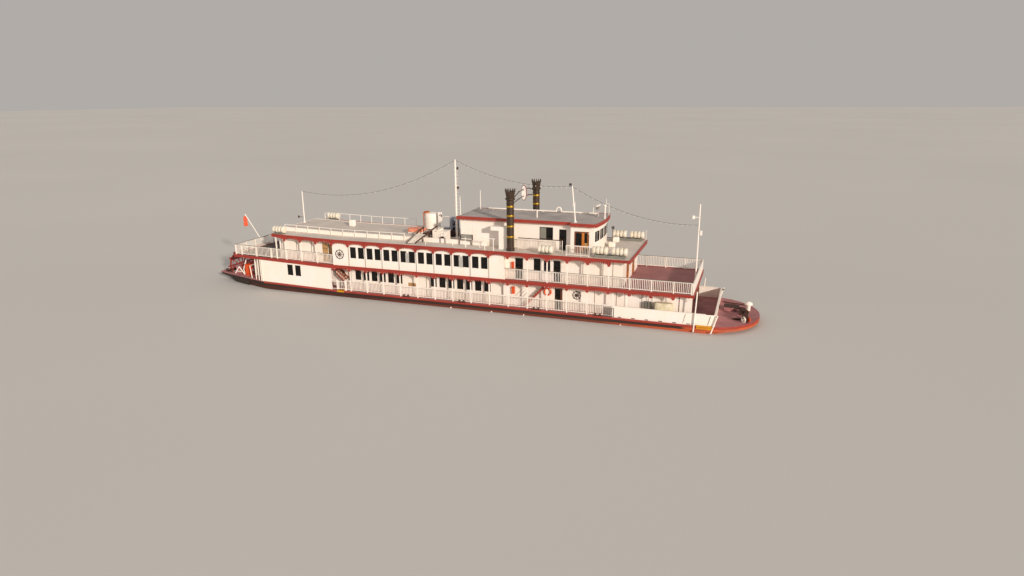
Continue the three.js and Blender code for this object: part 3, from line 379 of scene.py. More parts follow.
def make_finishes(colours):
    """Every finish of the ship. Pattern sizes are on the model, half of those on the real ship. The brush
    marks and threads are drawn some ten times coarser than real ones, which are too fine to show."""
    # Columns: finish, body, shade, stain, size of patches and streaks in mm, strength of the streaks, size of
    # specks in mm, roughness, size of brush marks in mm, index of refraction, other settings
    for name, body, shade, stain, patch, streak, strength, speck, rough, brush, ior, *others in (
        # Marine enamel on steel plate: satin, finely brushed, gone warm with age, streaked under each seam
        ("satin_enamel_cream", colours.cream, "#f8ecdb", "#b98a62", 900, 36, 0.4, 210, 0.42, 26, 1.5),
        # The same enamel in brick red, chalky where the sun has faded it
        ("satin_enamel_red", colours.red, "#96352a", "#5f251c", 420, 30, 0.5, 150, 0.5, 22, 1.5),
        # Deck paint with grit in it: dull, worn pale where people walk, dark in the wet corners
        ("gritted_deck_paint", colours.deck, "#97605f", "#5f3c38", 620, 120, 0.6, 90, 0.75, 7, 1.48),
        # The same on the upper deck, its open after part dark grey: painted shade
        ("gritted_deck_paint_upper", UPPER_DECK_ZONES, "#7d5450", "#463230", 620, 120, 0.5, 90, 0.75, 7, 1.48,
         {"fading": 0.4}),
        # Weather-deck coating rolled on in grey: dusty, with water marks
        ("rolled_deck_coating_grey", colours.roof, "#c9beb3", "#9a9086", 1100, 300, 0.6, 260, 0.72, 9, 1.48),
        # The same over the houses, older and darker
        ("aged_deck_coating_grey", "#bcb2ab", "#a39b97", "#7a7169", 900, 300, 0.6, 260, 0.75, 9, 1.48),
        # Antifouling paint: matt, dark aft and orange at the bow, scraped by the fenders
        ("antifouling_paint", HULL_ZONES, "#6a3222", "#3f2018", 800, 150, 0.7, 170, 0.62, 16, 1.48,
         {"fading": 0.5}),
        # Paint on the timber strake: nearly black, orange-red where it was renewed at the bow
        ("strake_paint", STRAKE_ZONES, "#33231c", "#2a1a14", 500, 90, 0.5, 120, 0.6, 20, 1.48,
         {"fading": 0.35}),
        # Heat-resisting enamel: black-brown, half matt, browned by the funnel's heat
        ("heat_resisting_enamel", colours.funnel, "#2f251d", "#4f3824", 260, 40, 0.55, 120, 0.38, 14, 1.5),
        # Hard-wearing yellow and orange enamels of steps, fenders, lifebuoys and lockers
        ("safety_yellow_enamel", "#e2a31f", "#c9861a", "#6a4a1c", 240, 40, 0.6, 90, 0.45, 18, 1.5),
        ("lifebuoy_orange_enamel", "#e4571f", "#cf4a1b", "#8a3316", 200, 30, 0.3, 110, 0.4, 18, 1.5),
        # Moulded glass-reinforced plastic: smooth gelcoat with a soft shine, slightly yellowed
        ("moulded_gelcoat_white", "#f4ecdc", "#e6d8bd", "#a98f6c", 260, 40, 0.35, 160, 0.3, 40, 1.5,
         {"coat_weight": 0.25}),
        # Grey of shutters, handrails, bench, crate and raft cradles; the pump frame's blue-grey is painted
        # shade
        ("flat_paint_grey", "#8a877c", "#77756c", "#57544b", 320, 50, 0.4, 150, 0.6, 20, 1.48),
        ("flat_paint_blue_grey", "#a9aebb", "#959aa8", "#63666f", 320, 60, 0.4, 150, 0.6, 20, 1.48),
        # Mastic in the panel joints, and the straps of the rafts: dull dark brown
        ("joint_mastic", "#6d5d4b", "#54473a", "#2f2822", 150, 30, 0.5, 60, 0.8, 10, 1.45),
    ):
        weathered_paint(name, body, shade, stain, patch_mm=patch, streak_mm=streak, streaks=strength,
                        speck_mm=speck, roughness=rough, bump_mm=brush, ior=ior, **dict(*others))
    # Tarred oak of the wheel guard: nearly black, rough, the grain raised by water
    grained_timber("tarred_oak", "#33241c", "#1b1410", "#4d382b", grain_mm=60, along=0, roughness=0.68)
    # Varnished mahogany of the saloon front and the doors: red-brown under a thin glossy coat
    grained_timber("varnished_mahogany", "#7a4020", "#4c2412", "#9c5a30", grain_mm=46, along=2,
                   roughness=0.35, coat_weight=0.4)
    # Oiled pine of the stair treads, crates, plaque and lounge doors: tan
    grained_timber("oiled_pine", "#b98f5c", "#8d683e", "#d0aa78", grain_mm=40, along=0, roughness=0.55)
    # Orange-stained pine of the door frames
    grained_timber("varnished_pine", "#c8782c", "#96521a", "#dc9550", grain_mm=40, along=2, roughness=0.38)
    # Rolled brass bands and door handles, polished bright
    worn_metal("polished_brass", "#f2c84a", "#b8862e", patch_mm=90, roughness=0.3, metallic=1.0)
    # Galvanised steel of small fittings: dull grey
    worn_metal("galvanised_steel", "#9a9a96", "#6f6d68", patch_mm=140, roughness=0.45, metallic=0.9)
    # Bare iron gone to rust
    worn_metal("rusted_iron", "#c66a34", "#8f4522", patch_mm=70, roughness=0.78)
    # Cast iron of bollards, machinery and chain, painted dark and rubbed to rust
    worn_metal("cast_iron_dark", "#3a2a22", "#5c3322", patch_mm=110, roughness=0.6, metallic=0.4)
    # Greased wire rope
    worn_metal("wire_rope_dark", "#4b4744", "#2e2b29", patch_mm=60, roughness=0.6, metallic=0.3)
    # Neoprene gaskets of windows and doors: matt black rubber
    worn_metal("neoprene_black", "#1c1b1a", "#2b2927", patch_mm=80, roughness=0.8)
    # Opal plastic of the lamps
    worn_metal("opal_acrylic", "#f5f0e4", "#e4dcc9", patch_mm=90, roughness=0.25, ior=1.49)
    # Toughened glass in front of dark rooms, paler where a curtain hangs behind it and as a painted glint
    panes("toughened_glass", "#0d0b0a", "#1a1613", roughness=0.06, ior=1.52, specular_ior_level=0.3)
    panes("curtained_glass", "#b9b5ae", "#a39e96", roughness=0.12, ior=1.52)
    # Woven bunting, thin and soft; coated canvas of covers, stiffer, with a dull shine
    woven_cloth("woven_bunting_red", colours.flag, "#cf4a28", thread_mm=9, crease_mm=120, roughness=0.85,
                sheen_weight=0.3)
    woven_cloth("coated_canvas_orange", colours.cover, "#f0a58c", thread_mm=14, crease_mm=160, roughness=0.6)
    woven_cloth("coated_canvas_beige", "#e8dcc0", "#c9b994", thread_mm=14, crease_mm=140, roughness=0.75)


# Columns: finish, the CAD nodes that wear it; all other nodes are cream
FINISH_NODES = {
    "antifouling_paint": ("hull", "rudder_starboard", "rudder_port"),
    "gritted_deck_paint": ("main_deck",),
    "gritted_deck_paint_upper": ("upper_deck",),
    "tarred_oak": ("wheel_guard",),
    "strake_paint": ("rubbing_strake",),
    "rolled_deck_coating_grey": ("roof_deck", "raised_roof"),
    "aged_deck_coating_grey": ("deckhouse_roof", "wheelhouse_roof"),
    "satin_enamel_red": ("paddle_wheel", "upper_fascia_starboard", "upper_fascia_port",
                         "roof_fascia_starboard", "roof_fascia_port"),
    "cast_iron_dark": ("engine_block", "windlass"),
    "varnished_mahogany": ("saloon_front", "wheelhouse_door_starboard", "wheelhouse_door_port"),
    "heat_resisting_enamel": ("funnel_sign", "funnel_starboard", "funnel_port"),
    "woven_bunting_red": ("ensign",),
    "coated_canvas_orange": ("covered_boat",),
}
NODE_FINISHES = {node: name for name, nodes in FINISH_NODES.items() for node in nodes}


# Settings that a user would change

def colour_setting(name, code):
    return bpy.props.StringProperty(name=name, description=f"{name} as an sRGB hex code", default=code,
                                    maxlen=len("#rrggbb"))


def length_setting(name, description, default):
    return bpy.props.FloatProperty(name=name, description=description, default=default, min=0.005,
                                   unit="LENGTH")


class SteamerColours(bpy.types.PropertyGroup):
    cream: colour_setting("Cream enamel", "#fbf1e8")
    red: colour_setting("Trim red", "#a93a2c")
    deck: colour_setting("Deck paint", "#b57a7a")
    roof: colour_setting("Roof coating", "#ded2c6")
    funnel: colour_setting("Funnel enamel", "#47321f")
    flag: colour_setting("Ensign cloth", "#ee7048")
    cover: colour_setting("Boat cover", "#e9825a")


class SteamerSizes(bpy.types.PropertyGroup):
    baluster_pitch: length_setting("Baluster pitch", "Distance between balusters, full size", 0.16)
    baluster_radius: length_setting("Baluster radius", "Radius of one baluster, full size", 0.026)
    lobe_pitch: length_setting("Lobe pitch", "Distance between the lobes under the fascias, full size", 0.2)
    gasket_width: length_setting("Gasket width", "Width of the rubber round a window, full size", 0.05)
    handrail_radius: length_setting("Handrail radius", "Radius of the light rails on the roof, full size",
                                    0.032)


class PieceOperator(bpy.types.Operator):
    """Base of the operators that build the ship's pieces"""
    bl_options = {"REGISTER", "UNDO"}

    def execute(self, context):
        self.build(context.scene.steamer_sizes)
        return {"FINISHED"}


class STEAMER_OT_finishes(bpy.types.Operator):
    """Makes the finishes and gives each CAD node its own"""
    bl_idname = "steamer.finishes"
    bl_label = "Finishes"

    def execute(self, context):
        make_finishes(context.scene.steamer_colours)
        for name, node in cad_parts.items():
            finish_name = NODE_FINISHES.get(name, "satin_enamel_cream")
            for slot in node.material_slots:
                slot.material = bpy.data.materials[finish_name]
        return {"FINISHED"}


# Trim of the deck edges
# Columns: name, deck's height, aft end, fore end, first and last pendant, depth of a pendant
FASCIAS = [
    ("upper", UPPER, -8.46, 39.7, 2, 20, 0.5),
    ("roof", ROOF, -3.4, 34.1, -1, 17, 0.6),
]
BAND = 0.26
OVER = 0.03
SHOULDER = 0.2


def arch_points(pendant, top, drop, steps=10):
    """Points along the arch aft of a pendant, as the fascia board's lower edge runs."""
    spring = BAND + 0.5 * (drop - BAND)
    start, end = (pendant - 1) * BAY + SHOULDER, pendant * BAY - SHOULDER
    middle, half = (start + end) / 2, (end - start) / 2
    points = []
    for step in range(steps + 1):
        angle = math.pi * (1 - step / steps)
        x = middle + half * math.cos(angle)
        points.append((x, top + OVER + rise(x) - spring + (spring - BAND) * math.sin(angle)))
    return points


def studs(shape, line, pitch, radius, depth):
    """Short round studs across the boards, at even distances along a line."""
    carried = pitch / 2
    for start, end in zip(line, line[1:]):
        start, end = Vector(start), Vector(end)
        length = (end - start).length
        while carried < length:
            here = start.lerp(end, carried / length)
            rod(shape, here, here + Vector((0, depth, 0)), radius, 6)
            carried += pitch
        carried -= length


class STEAMER_OT_fascia_trim(PieceOperator):
    """Mouldings, lobes, scrolls and end boards of the scalloped fascias"""
    bl_idname = "steamer.fascia_trim"
    bl_label = "Fascia Trim"

    def build(self, sizes):
        for deck, top, aft, fore, first, last, drop in FASCIAS:
            red, white = new_shapes(2)
            for side in BOTH:
                face = side * HALF_BEAM
                strip(red, aft, fore, face, face + side * 0.035, top - 0.03, top + OVER + 0.01)
                strip(red, aft, fore, face, face + side * 0.02, top - 0.13, top - 0.1)
                for pendant in range(first, last + 1):
                    x = pendant * BAY
                    if pendant > first:
                        points = arch_points(pendant, top, drop)
                        chain_of_rods(red, [(px, face, pz + 0.01) for px, pz in points], 0.03, 6)
                        lobes = [(px, face - side * 0.03, pz - 0.07) for px, pz in points]
                        studs(red, lobes, sizes.lobe_pitch, 0.055, side * 0.05)
                    low = top + OVER + rise(x) - drop
                    for way in BOTH:
                        ring(red, (x + way * 0.12, face - side * 0.01, low + 0.17), (0, 1, 0), 0.07, 0.026,
                             steps=12, sides=6)
                        ring(red, (x + way * 0.075, face - side * 0.01, low + 0.01), (0, 1, 0), 0.045, 0.022,
                             steps=10, sides=6)
                        rod(white, (x + way * 0.2, face - side * 0.01, low + 0.12),
                            (x + way * 0.2, face + side * 0.03, low + 0.12), 0.03, 6)
                    rod(red, (x, face, low + 0.02), (x, face, low - 0.1), 0.07, 8, 0.02)
                    rod(red, (x, face - side * 0.01, low + 0.33), (x, face + side * 0.03, low + 0.33), 0.045)
            head = top + OVER + 0.01
            for x, way in ((fore, 1), (aft, -1)):
                lift(box(red, x, x + way * 0.05, -HALF_BEAM - 0.02, HALF_BEAM + 0.02, top - BAND, head))
                lift(box(red, x + way * 0.05, x + way * 0.075, -HALF_BEAM, HALF_BEAM, top - 0.03, head))
                count = round(2 * HALF_BEAM / sizes.lobe_pitch)
                for index in range(count):
                    y = -HALF_BEAM + (index + 0.5) * 2 * HALF_BEAM / count
                    z = top - BAND + rise(x) - 0.04
                    rod(red, (x + way * 0.005, y, z), (x + way * 0.05, y, z), 0.05, 6)
            finish(f"{deck}_fascia_mouldings", red, *RED)
            finish(f"{deck}_fascia_beads", white, *CREAM)


# Rails
# Columns: name, aft end, fore end, deck, finish of the cap
RAIL_RUNS = [
    ("main_deck", 5.15, 32.75, MAIN, "satin_enamel_cream"),
    ("upper_forward", 22.5, 39.5, UPPER, "flat_paint_grey"),
    ("after_deck", -8.38, 3.75, UPPER, "flat_paint_grey"),
]
CAD_BALUSTERS = BAY / 2


class STEAMER_OT_balusters(PieceOperator):
    """The close-set balusters between the rails' posts, and the caps of the handrails"""
    bl_idname = "steamer.balusters"
    bl_label = "Balusters"

    def build(self, sizes):
        spaces = round(CAD_BALUSTERS / sizes.baluster_pitch)
        pitch = CAD_BALUSTERS / spaces
        for name, aft, fore, deck, cap_finish in RAIL_RUNS:
            shape, cap = new_shapes(2)
            foot, head = deck + 0.14, deck + RAIL_HEIGHT - 0.02
            places = []
            for side in BOTH:
                stations = range(math.ceil(aft / pitch), math.floor(fore / pitch) + 1)
                places += [(index * pitch, side * RAIL_LINE) for index in stations if index % spaces]
                strip(cap, aft - 0.08, fore + 0.08, side * (RAIL_LINE - 0.045), side * (RAIL_LINE + 0.045),
                      deck + RAIL_HEIGHT, deck + RAIL_HEIGHT + 0.035)
            if name == "after_deck":
                half = math.floor(RAIL_LINE / pitch)
                places += [(aft, index * pitch) for index in range(-half, half + 1)]
                lift(box(cap, aft - 0.045, aft + 0.045, -RAIL_LINE - 0.02, RAIL_LINE + 0.02,
                         deck + RAIL_HEIGHT, deck + RAIL_HEIGHT + 0.035))
            for x, y in places:
                rod(shape, (x, y, foot + rise(x)), (x, y, head + rise(x)), sizes.baluster_radius, 5)
            finish(f"{name}_balusters", shape, *CREAM)
            finish(f"{name}_handrail_cap", cap, cap_finish, "white_paint")


# Windows
LOWER_BAYS = [3.5, 4, 4.5, 5, 5.5, 6, 8, 8.5, 9, 9.5, 10, 10.5, 11]
PAIR_BAYS = range(3, 11)
PAIR_PLACES = [0.285, 0.765]
WINDOW_WIDTH, WINDOW_HEIGHT = 0.6, 1.08
LOWER_SETBACK = 0.5
# Columns: aft edge, fore edge, foot, head of the panes slid open over a pillar
SLID_PANES = [(12.16, 12.54, 4.19, 5.19), (17.85, 18.26, 4.16, 5.24)]


def on_wall(shape, side, wall, x0, x1, z0, z1, back, proud):
    """A board on a side wall, from so far behind its face to so far in front of it, at the decks' height."""
    lift(box(shape, x0, x1, side * (wall - back), side * (wall + proud), z0, z1))


def side_windows():
    """Rows of (wall's outer face, aft edge, fore edge, foot, head)."""
    centred = [(FLUSH, x, MAIN + 1.05) for x in (-1.55, -0.58)]
    centred += [(INSET, bay * BAY - LOWER_SETBACK, MAIN + 1.08) for bay in LOWER_BAYS]
    centred += [(FLUSH, (bay + part) * BAY, UPPER + 0.9) for bay in PAIR_BAYS for part in PAIR_PLACES]
    rows = [(wall, x - WINDOW_WIDTH / 2, x + WINDOW_WIDTH / 2, sill, sill + WINDOW_HEIGHT)
            for wall, x, sill in centred]
    return rows + [(INSET, x0, x1, UPPER + 0.95, UPPER + 2.0) for x0, x1 in ((25.1, 25.68), (26.08, 26.64))]


# Wheelhouse front: its bow in flat facets, and four windows
BOW_FORE, BOW_HALF, BOW_DEPTH, BOW_FACETS = 30.43, 3.0, 0.3, 8
FRONT_WINDOWS = [-2.06, -0.69, 0.69, 2.06]
FRONT_HALF = 0.52


def bowed(y, fore, half):
    """Station of the bowed front's flat facets at a distance to port."""
    part = (y + half) / (2 * half) * BOW_FACETS
    low = min(BOW_FACETS - 1, max(0, math.floor(part)))
    ends = [fore + BOW_DEPTH * (1 - (2 * corner / BOW_FACETS - 1) ** 2) for corner in (low, low + 1)]
    return ends[0] + (ends[1] - ends[0]) * (part - low)


def bowed_board(shape, y0, y1, z0, z1, back, proud, fore=BOW_FORE, half=BOW_HALF):
    """A board along the bowed front between two distances to port, with a corner at each facet's edge."""
    edges = [2 * half * corner / BOW_FACETS - half for corner in range(BOW_FACETS + 1)]
    places = [y0, *(edge for edge in edges if y0 < edge < y1), y1]
    outer = [(bowed(y, fore, half) + proud, y) for y in places]
    inner = [(bowed(y, fore, half) - back, y) for y in reversed(places)]
    plate(shape, [(x, y, z0) for x, y in outer + inner], (0, 0, z1 - z0))


class STEAMER_OT_windows(PieceOperator):
    """Panes and rubber gaskets of all fixed windows, and the panes slid open over a pillar"""
    bl_idname = "steamer.windows"
    bl_label = "Windows"

    def build(self, sizes):
        gaskets, glass, pale, shutters = new_shapes(4)
        width = sizes.gasket_width
        half = width / 2
        for side in BOTH:
            for wall, x0, x1, low, high in side_windows():
                self.window(gaskets, glass, side, wall, x0, x1, low, high, width)
            for x0, x1, low, high in SLID_PANES:
                on_wall(pale, side, FLUSH, x0, x1, low, high, 0.002, 0.018)
            # Deckhouse: a wide window, its after half behind a shutter
            self.window(gaskets, glass, side, HOUSE_WALL, 25.2, 26.45, ROOF + 1.0, ROOF + 2.1, width)
            on_wall(shutters, side, HOUSE_WALL, 25.22, 25.8, ROOF + 1.02, ROOF + 2.08, 0.025, -0.004)
        low, high = ROOF + 1.05, ROOF + 1.93
        for middle in FRONT_WINDOWS:
            y0, y1 = middle - FRONT_HALF, middle + FRONT_HALF
            bowed_board(glass, y0 + 0.005, y1 - 0.005, low, high, 0.04, -0.03)
            for y in (y0, y1):
                bowed_board(gaskets, y - half, y + half, low - half, high + half, 0.05, 0.012)
            for z in (low, high):
                bowed_board(gaskets, y0, y1, z - half, z + half, 0.05, 0.012)
            # A pale strip of glass down the middle of each front window: a painted glint
            bowed_board(pale, middle - 0.03, middle + 0.03, low, high, 0.03, -0.005)
        finish("window_gaskets", gaskets, "neoprene_black", "grey_iron")
        finish("window_panes", glass, "toughened_glass", "grey_iron")
        finish("window_panes_pale", pale, "curtained_glass", "grey_iron")
        finish("deckhouse_shutters", shutters, "flat_paint_grey", "roof_paint")

    def window(self, gaskets, glass, side, wall, x0, x1, low, high, width):
        half = width / 2
        on_wall(glass, side, wall, x0 + 0.002, x1 - 0.002, low + 0.002, high - 0.002, 0.04, -0.03)
        for x in (x0, x1):
            on_wall(gaskets, side, wall, x - half, x + half, low - half, high + half, 0.045, 0.012)
        for z in (low, high):
            on_wall(gaskets, side, wall, x0, x1, z - half, z + half, 0.045, 0.012)


# Doors
# Columns: wall's outer face, aft edge, fore edge, deck, height, leaf
DOORS = [
    (LOUNGE, 2.85, 3.55, UPPER, 2.0, "oiled_pine"),
    (INSET, 23.27, 24.0, UPPER, 1.95, "toughened_glass"),
    (INSET, 27.0, 27.6, UPPER, 1.95, "toughened_glass"),
    (INSET, 27.15, 27.85, MAIN, 2.0, "toughened_glass"),
    (HOUSE_WALL, 27.1, 27.75, ROOF, 1.98, "toughened_glass"),
]
# Columns: station, distance to port, width of the pair, deck of the doors that face forward
FRONT_DOORS = [(38.48, 1.6, 1.1, MAIN), (33.4, 1.5, 1.2, UPPER)]
# Columns: finish of a door's parts, their slot
DOOR_SLOTS = {
    "oiled_pine": "brown_timber", "toughened_glass": "grey_iron", "neoprene_black": "grey_iron",
    "polished_brass": "funnel_paint", "varnished_mahogany": "brown_timber", "varnished_pine": "brown_timber",
}


class STEAMER_OT_doors(PieceOperator):
    """Leaves, frames and handles of the doors that don't move in this model"""
    bl_idname = "steamer.doors"
    bl_label = "Fixed Doors"

    def build(self, sizes):
        shapes = {name: bmesh.new() for name in DOOR_SLOTS}
        rubber, brass = shapes["neoprene_black"], shapes["polished_brass"]
        for side in BOTH:
            for wall, x0, x1, deck, height, leaf in DOORS:
                head = deck + height
                on_wall(shapes[leaf], side, wall, x0 + 0.01, x1 - 0.01, deck + 0.01, head - 0.01, 0.06, -0.03)
                for start, end in ((x0 - 0.015, x0 + 0.025), (x1 - 0.025, x1 + 0.015)):
                    on_wall(rubber, side, wall, start, end, deck + 0.005, head, 0.065, 0.012)
                on_wall(rubber, side, wall, x0, x1, head - 0.025, head + 0.015, 0.065, 0.012)
                x, y, z = x0 + 0.1, side * wall, deck + 1.0 + rise(x0)
                knob = (x, y + side * 0.03, z)
                rod(brass, (x, y - side * 0.035, z), knob, 0.02, 8)
                rod(brass, knob, (x + 0.1, y + side * 0.03, z), 0.018, 8)
            # The main-deck door stands ajar: its leaf shows as a brown strip
            on_wall(shapes["varnished_mahogany"], side, INSET, 27.66, 27.83, MAIN + 0.02, MAIN + 1.97,
                    0.03, 0.01)
        for x, y0, width, deck in FRONT_DOORS:
            for side in BOTH:
                for leaf in BOTH:
                    middle = side * y0 + leaf * width / 4
                    self.front_leaf(shapes, x, middle - width / 4, middle + width / 4, deck)
        for name, shape in shapes.items():
            finish(f"doors_{name}", shape, name, DOOR_SLOTS[name])

    def front_leaf(self, shapes, x, y0, y1, deck):
        box(shapes["varnished_mahogany"], x - 0.06, x - 0.02, y0 + 0.01, y1 - 0.01, deck + 0.01, deck + 1.98)
        box(shapes["toughened_glass"], x - 0.022, x - 0.01, y0 + 0.12, y1 - 0.12, deck + 0.85, deck + 1.8)
        pine = shapes["varnished_pine"]
        for start in (y0 + 0.02, y1 - 0.09):
            box(pine, x - 0.025, x + 0.01, start, start + 0.07, deck + 0.05, deck + 1.94)
        for low in (0.05, 0.72, 1.84):
            box(pine, x - 0.025, x + 0.01, y0 + 0.09, y1 - 0.09, deck + low, deck + low + 0.08)


# Parts of a wheelhouse door
# Columns: aft edge, fore edge, foot and head above the roof, from behind to in front of the leaf's face,
# finish
DOOR_PARTS = [
    (28.76, 29.37, 0.68, 1.86, 0.03, -0.02, "toughened_glass"),
    (29.61, 29.91, 0.95, 1.86, 0.03, -0.02, "toughened_glass"),
    (28.67, 28.77, 0.1, 1.9, 0.001, 0.012, "varnished_mahogany"),
    (29.37, 29.6, 0.1, 1.9, 0.001, 0.018, "varnished_pine"),
    (29.9, 30.03, 0.1, 1.9, 0.001, 0.018, "varnished_pine"),
    (29.6, 29.9, 0.1, 0.45, 0.001, 0.012, "varnished_mahogany"),
    (29.6, 29.9, 0.45, 0.95, 0.025, 0.01, "oiled_pine"),
    (28.77, 29.37, 0.1, 0.66, 0.001, 0.012, "varnished_mahogany"),
    (28.67, 30.03, 1.86, 1.95, 0.001, 0.014, "varnished_mahogany"),
]


class STEAMER_OT_wheelhouse_doors(PieceOperator):
    """Panes, panels and orange frames on the two wheelhouse doors, which swing with them"""
    bl_idname = "steamer.wheelhouse_doors"
    bl_label = "Wheelhouse Doors"

    def build(self, sizes):
        for side, label in SIDES:
            shapes = {row[-1]: bmesh.new() for row in DOOR_PARTS}
            for x0, x1, low, high, back, proud, material in DOOR_PARTS:
                on_wall(shapes[material], side, BOW_HALF, x0, x1, ROOF + low, ROOF + high, back, proud)
            for material, shape in shapes.items():
                finish(f"wheelhouse_door_{label}_{material}", shape, material, DOOR_SLOTS[material],
                       f"door_{label}")


# Walls
# Columns: wall's outer face, stations, foot, head of the dark joints
WALL_JOINTS = [
    (FLUSH, [pendant * BAY for pendant in range(3, 12)], UPPER + 0.01, ROOF - SOFFIT),
    (LOUNGE, [-2.97, -1.09, 0.75], UPPER + 0.01, ROOF - SOFFIT),
    (INSET, [29.75, 31.6, 32.5], UPPER + 0.01, ROOF - SOFFIT),
    (INSET, [13.9, 22.0, 30.9, 32.9, 35.2, 37.3], MAIN + 0.01, UPPER - SOFFIT),
]
# Columns: foot and head, each (station, height), of the slanting joints ahead of the forward stair
SLANTED_JOINTS = [
    ((22.98, 1.31), (23.99, 2.39)), ((23.34, 1.26), (24.15, 2.16)), ((23.71, 1.29), (24.43, 2.05)),
]
PILASTERS = [(-5.2, 4.7), (-5.55, 3.06), (-6.0, 3.06), (-6.5, 3.06), (-7.0, 3.06), (-7.5, 3.06)]


class STEAMER_OT_wall_panels(PieceOperator):
    """Joints, cover strips, corner posts and the plaque of the cream walls"""
    bl_idname = "steamer.wall_panels"
    bl_label = "Wall Panels"

    def build(self, sizes):
        joints, cream, plaque, grey = new_shapes(4)
        for side in BOTH:
            for wall, stations, low, high in WALL_JOINTS:
                for x in stations:
                    on_wall(joints, side, wall, x - 0.022, x + 0.022, low, high, 0.005, 0.012)
            for pendant in range(3, 12):
                x = pendant * BAY - 0.05
                on_wall(cream, side, FLUSH, x - 0.02, x + 0.02, UPPER + 0.01, ROOF - SOFFIT, 0.005, 0.02)
            for x in (33.75, 35.7):
                on_wall(cream, side, INSET, x - 0.06, x + 0.06, MAIN + 0.01, UPPER - SOFFIT, 0.005, 0.05)
            # Aft lounge: head lines of its panels, its after corner and the tan panel beside the door
            for x0, x1 in ((-2.2, -1.25), (-0.7, 0.3)):
                strip(joints, x0, x1, side * (LOUNGE - 0.005), side * (LOUNGE + 0.012), UPPER + 1.9,
                      UPPER + 1.92)
            on_wall(cream, side, LOUNGE, -3.22, -2.4, UPPER + 0.01, ROOF - SOFFIT, 0.06, 0.004)
            on_wall(plaque, side, LOUNGE, 2.1, 2.77, UPPER + 0.05, UPPER + 2.05, 0.005, 0.012)
            # Foot mouldings along the flush walls
            strip(cream, -5.18, 3.44, side * (FLUSH - 0.005), side * (FLUSH + 0.02), MAIN + 0.01, MAIN + 0.1)
            strip(cream, 3.82, 22.38, side * (FLUSH - 0.005), side * (FLUSH + 0.02), UPPER + 0.01,
                  UPPER + 0.08)
            # Round pilasters of the engine house, and its corner boards
            for x, y in PILASTERS:
                lift(rod(cream, (x, side * y, MAIN), (x, side * y, UPPER - SOFFIT), 0.05, 10))
            for x in (-5.2, 3.4):
                on_wall(cream, side, FLUSH, x - 0.05, x + 0.05, MAIN + 0.01, UPPER - SOFFIT, 0.005, 0.035)
            for low, high in SLANTED_JOINTS:
                rod(joints, (low[0], side * INSET, low[1]), (high[0], side * INSET, high[1]), 0.018, 6)
            on_wall(plaque, side, INSET, 11.89, 12.73, 1.57, 1.93, 0.005, 0.025)
            # Grey bars of the gate at the rail's fore end
            for index in range(6):
                x = 32.0 + index * 0.17
                box(grey, x - 0.03, x + 0.03, side * 4.72, side * 4.77, MAIN + 0.02, MAIN + 0.84)
            for z in (MAIN + 0.06, MAIN + 0.8):
                box(grey, 31.95, 32.9, side * 4.72, side * 4.765, z, z + 0.05)
        finish("wall_joints", joints, "joint_mastic", "white_paint")
        finish("wall_cover_strips", cream, *CREAM)
        finish("wall_plaque", plaque, "oiled_pine", "brown_timber")
        finish("rail_end_bars", grey, "galvanised_steel", "grey_iron")


class STEAMER_OT_wheel_emblems(PieceOperator):
    """The painted ship's-wheel emblems: a rim, a ring of eight spokes and a boss"""
    bl_idname = "steamer.wheel_emblems"
    bl_label = "Ship's-Wheel Emblems"

    def build(self, sizes):
        shape = bmesh.new()
        for wall, x, z, radius in ((FLUSH, 4.65, 4.5, 0.45), (INSET, 29.23, 2.18, 0.36)):
            for side in BOTH:
                centre = Vector((x, side * (wall + 0.02), z))
                ring(shape, centre, (0, 1, 0), radius, 0.035, steps=32, sides=6)
                ring(shape, centre, (0, 1, 0), radius * 0.45, 0.028, steps=24, sides=6)
                rod(shape, centre - Vector((0, side * 0.02, 0)), centre + Vector((0, side * 0.035, 0)), 0.1,
                    12)
                for spoke in range(8):
                    angle = math.pi * spoke / 4
                    reach = Vector((math.cos(angle), 0, math.sin(angle)))
                    rod(shape, centre + reach * 0.08, centre + reach * (radius + 0.09), 0.012, 6, 0.018)
        finish("wheel_emblems", shape, "cast_iron_dark", "funnel_paint")


